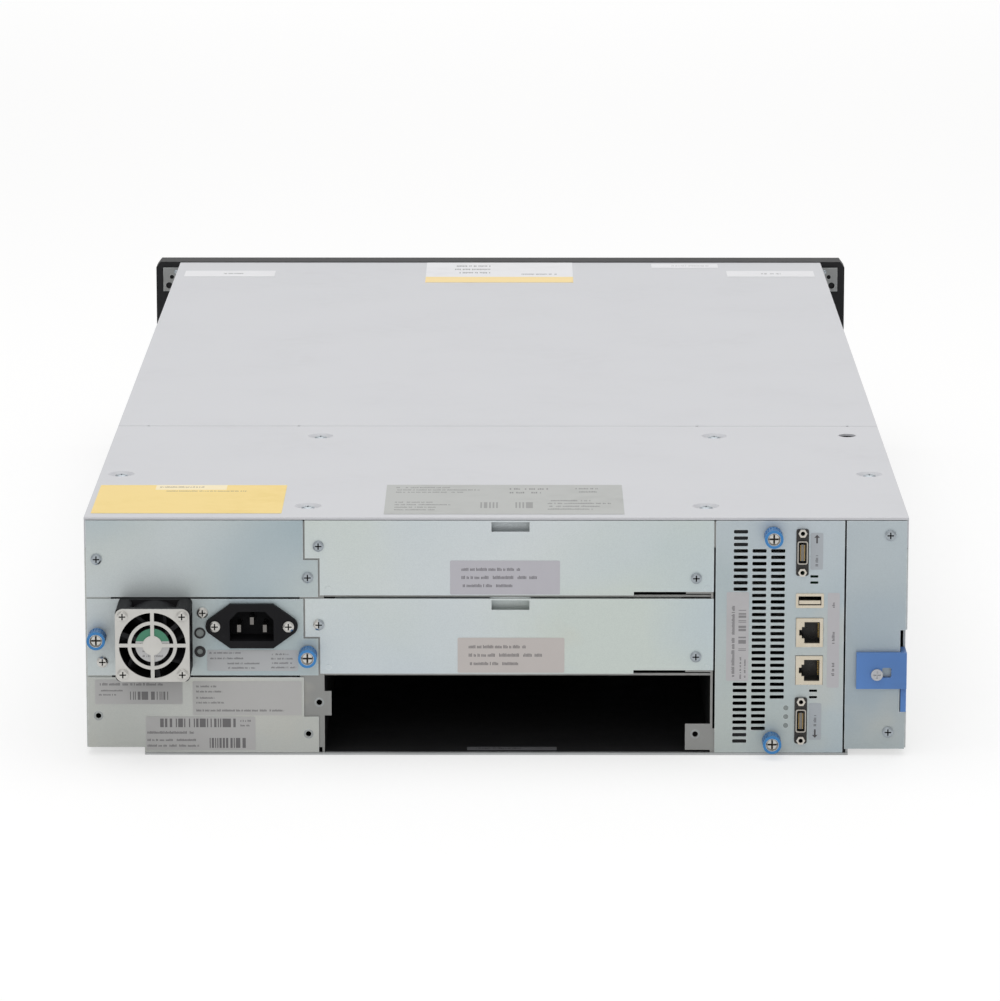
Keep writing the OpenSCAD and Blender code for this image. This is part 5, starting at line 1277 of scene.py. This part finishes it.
class LIBRARY_OT_cartridge_labels(bpy.types.Operator):
    """Labels and grip ribs on every cartridge"""

    bl_idname = "tape_library.cartridge_labels"
    bl_label = "Cartridge labels"

    def execute(self, context):
        for node, side in (("left_cartridges", -1), ("right_cartridges", 1)):
            low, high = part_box(node)
            face = low.x if side > 0 else high.x
            reach = high.y - low.y - CARTRIDGE_LENGTH
            columns = round(reach / CARTRIDGE_PITCH) + 1
            rows = 5
            pitch_y = reach / (columns - 1)
            pitch_z = (high.z - low.z - CARTRIDGE_THICKNESS) / (rows - 1)
            first_y, first_z = low.y + CARTRIDGE_LENGTH / 2, low.z + CARTRIDGE_THICKNESS / 2
            starts = [(face + side * 0.45 * MM, first_y + c * pitch_y, first_z) for c in range(columns)]
            repeated(node + "_labels", "block_rows", starts, BODY_OF[node], None, Count=rows,
                     Step=(0, 0, pitch_z), Size=(0.2 * MM, 76 * MM, 11 * MM), Material=self.stock(node, low, pitch_y))
            ribs = [(face + side * 12 * MM, first_y + c * pitch_y + end * 51.05 * MM, first_z + r * pitch_z)
                    for c in range(columns) for r in range(rows) for end in (-1, 1)]
            repeated(node + "_ribs", "block_rows", ribs, BODY_OF[node], "cartridge_plastic", Count=6,
                     Step=(side * 2.2 * MM, 0, 0), Size=(1.1 * MM, 0.3 * MM, 15 * MM),
                     Material=NODES[node].data.materials[0])
        return {"FINISHED"}

    def stock(self, node, low, pitch):
        """White stock with a block of plain bars and a coloured patch, repeated along the magazine."""
        material, tree, shader = new_material(node + "_label_stock")
        split = axes(tree, object_coordinates(tree))
        along = calc(tree, "DIVIDE", calc(tree, "SUBTRACT", split["Y"], low.y), pitch)
        within = calc(tree, "FRACT", along)
        cell = calc(tree, "FLOOR", calc(tree, "MULTIPLY", along, 120.0))
        bar = calc(tree, "GREATER_THAN", cell_noise(tree, cell, 3.0), 0.5)
        zone = calc(tree, "MULTIPLY", calc(tree, "GREATER_THAN", within, 0.20), calc(tree, "LESS_THAN", within, 0.62))
        patch = calc(tree, "GREATER_THAN", within, 0.66)
        row = calc(tree, "FLOOR", calc(tree, "DIVIDE", calc(tree, "SUBTRACT", split["Z"], low.z), 0.0228))
        hue = cell_noise(tree, calc(tree, "FLOOR", along), row)
        tint = blend_colour(tree, hue, (0.55, 0.18, 0.10), (0.10, 0.30, 0.50))
        printed = blend_colour(tree, calc(tree, "MULTIPLY", bar, zone), (0.78, 0.78, 0.77), (0.03, 0.03, 0.03))
        connect(tree, shader.inputs, Base_Color=blend_colour(tree, patch, printed, tint), Roughness=0.4)
        return material


class LIBRARY_OT_key_marks(bpy.types.Operator):
    """Raised plain marks on the four keys and a quiet picture on the display"""

    bl_idname = "tape_library.key_marks"
    bl_label = "Key marks"

    def execute(self, context):
        ink = moulded_plastic("mark_white", (0.55, 0.56, 0.57), 0.5, 0.1, (0.6, 0.6, 0.6))
        triangle = [(0, 2.4), (-2.3, -1.5), (2.3, -1.5)]
        marks = {
            "up_button": [triangle],
            "down_button": [[(u, -v) for u, v in reversed(triangle)]],
            "enter_button": [[(-2.2, -2.2), (2.2, -2.2), (2.2, 2.2), (-2.2, 2.2)]],
            "power_button": [[(-0.5, -2.4), (0.5, -2.4), (0.5, 2.4), (-0.5, 2.4)]],
        }
        across, up = FACES["front"]
        for node, outlines in marks.items():
            low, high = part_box(node)
            centre = Vector(((low.x + high.x) / 2, low.y + 0.4 * MM, (low.z + high.z) / 2))
            shape = bmesh.new()
            for outline in outlines:
                extrude_outline(shape, [(u * MM, v * MM) for u, v in outline], centre, across, up, 0.00002, 0.00025)
            mesh_object(node + "_mark", finish_mesh(node + "_mark", shape), BODY_OF[node], ink)
        low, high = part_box("display_window")
        centre = Vector(((low.x + high.x) / 2, low.y, (low.z + high.z) / 2))
        size = (high.x - low.x - 6 * MM, high.z - low.z - 6 * MM)
        label("display_picture", "front", centre, size, self.picture(), "display_glass", radius=0.5 * MM)
        return {"FINISHED"}

    def picture(self):
        """Dim slot map on a dark ground."""
        material, tree, shader = new_material("display_picture_glow")
        surface = add_node(tree, "ShaderNodeUVMap", uv_map="label").outputs[0]
        map_of_slots = add_node(tree, "ShaderNodeTexBrick", offset=0.0)
        tree.links.new(surface, map_of_slots.inputs["Vector"])
        map_of_slots.inputs["Scale"].default_value = 8.0
        map_of_slots.inputs["Color1"].default_value = (0.03, 0.07, 0.11, 1)
        map_of_slots.inputs["Color2"].default_value = (0.05, 0.12, 0.17, 1)
        map_of_slots.inputs["Mortar"].default_value = (0.008, 0.012, 0.018, 1)
        map_of_slots.inputs["Mortar Size"].default_value = 0.05
        connect(tree, shader.inputs,
                Base_Color=map_of_slots.outputs["Color"],
                Roughness=0.12,
                Coat_Weight=0.8)
        return material


class LIBRARY_OT_studs(bpy.types.Operator):
    """Domed studs on the ear brackets"""

    bl_idname = "tape_library.studs"
    bl_label = "Studs"

    def execute(self, context):
        low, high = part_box("ear_brackets")
        steel = NODES["cover_screws"].data.materials[0]
        spots = []
        for side in (-1, 1):
            for z in (high.z - 3 * MM, low.z + 13.4 * MM):
                spots.append((side * (high.x - 9 * MM), high.y - 28.4 * MM, z))
        repeated("bracket_studs", "stud_rows", spots, "chassis", "screw_steel", Radius=1.6 * MM, Height=1.0 * MM,
                 Turn=(math.pi / 2, 0, 0), Material=steel)
        return {"FINISHED"}


class LIBRARY_PT_panel(bpy.types.Panel):
    bl_label = "Tape library"
    bl_idname = "LIBRARY_PT_panel"
    bl_space_type = "VIEW_3D"
    bl_region_type = "UI"
    bl_category = "Tape library"

    def draw(self, context):
        for operator in OPERATORS:
            self.layout.operator(operator.bl_idname)
        for name, group in SETTING_GROUPS.items():
            column = self.layout.column()
            for setting in group.__annotations__:
                column.prop(getattr(context.scene, name), setting)


OPERATORS = (
    LIBRARY_OT_stage,
    LIBRARY_OT_sheet_metal,
    LIBRARY_OT_mouldings,
    LIBRARY_OT_blue_grips,
    LIBRARY_OT_socket_metal,
    LIBRARY_OT_light_collars,
    LIBRARY_OT_hole_rims,
    LIBRARY_OT_supply_labels,
    LIBRARY_OT_bay_labels,
    LIBRARY_OT_controller_labels,
    LIBRARY_OT_top_labels,
    LIBRARY_OT_fan_sticker,
    LIBRARY_OT_cartridge_labels,
    LIBRARY_OT_key_marks,
    LIBRARY_OT_studs,
)


def register():
    for group in SETTING_GROUPS.values():
        bpy.utils.register_class(group)
    for operator in OPERATORS:
        bpy.utils.register_class(operator)
    bpy.utils.register_class(LIBRARY_PT_panel)
    for name, group in SETTING_GROUPS.items():
        setattr(bpy.types.Scene, name, PointerProperty(type=group))


def unregister():
    for name in SETTING_GROUPS:
        delattr(bpy.types.Scene, name)
    bpy.utils.unregister_class(LIBRARY_PT_panel)
    for operator in reversed(OPERATORS):
        bpy.utils.unregister_class(operator)
    for group in SETTING_GROUPS.values():
        bpy.utils.unregister_class(group)


def main():
    """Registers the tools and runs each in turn."""
    register()
    for operator in OPERATORS:
        family, action = operator.bl_idname.split(".")
        getattr(getattr(bpy.ops, family), action)()


if __name__ == "__main__":
    main()
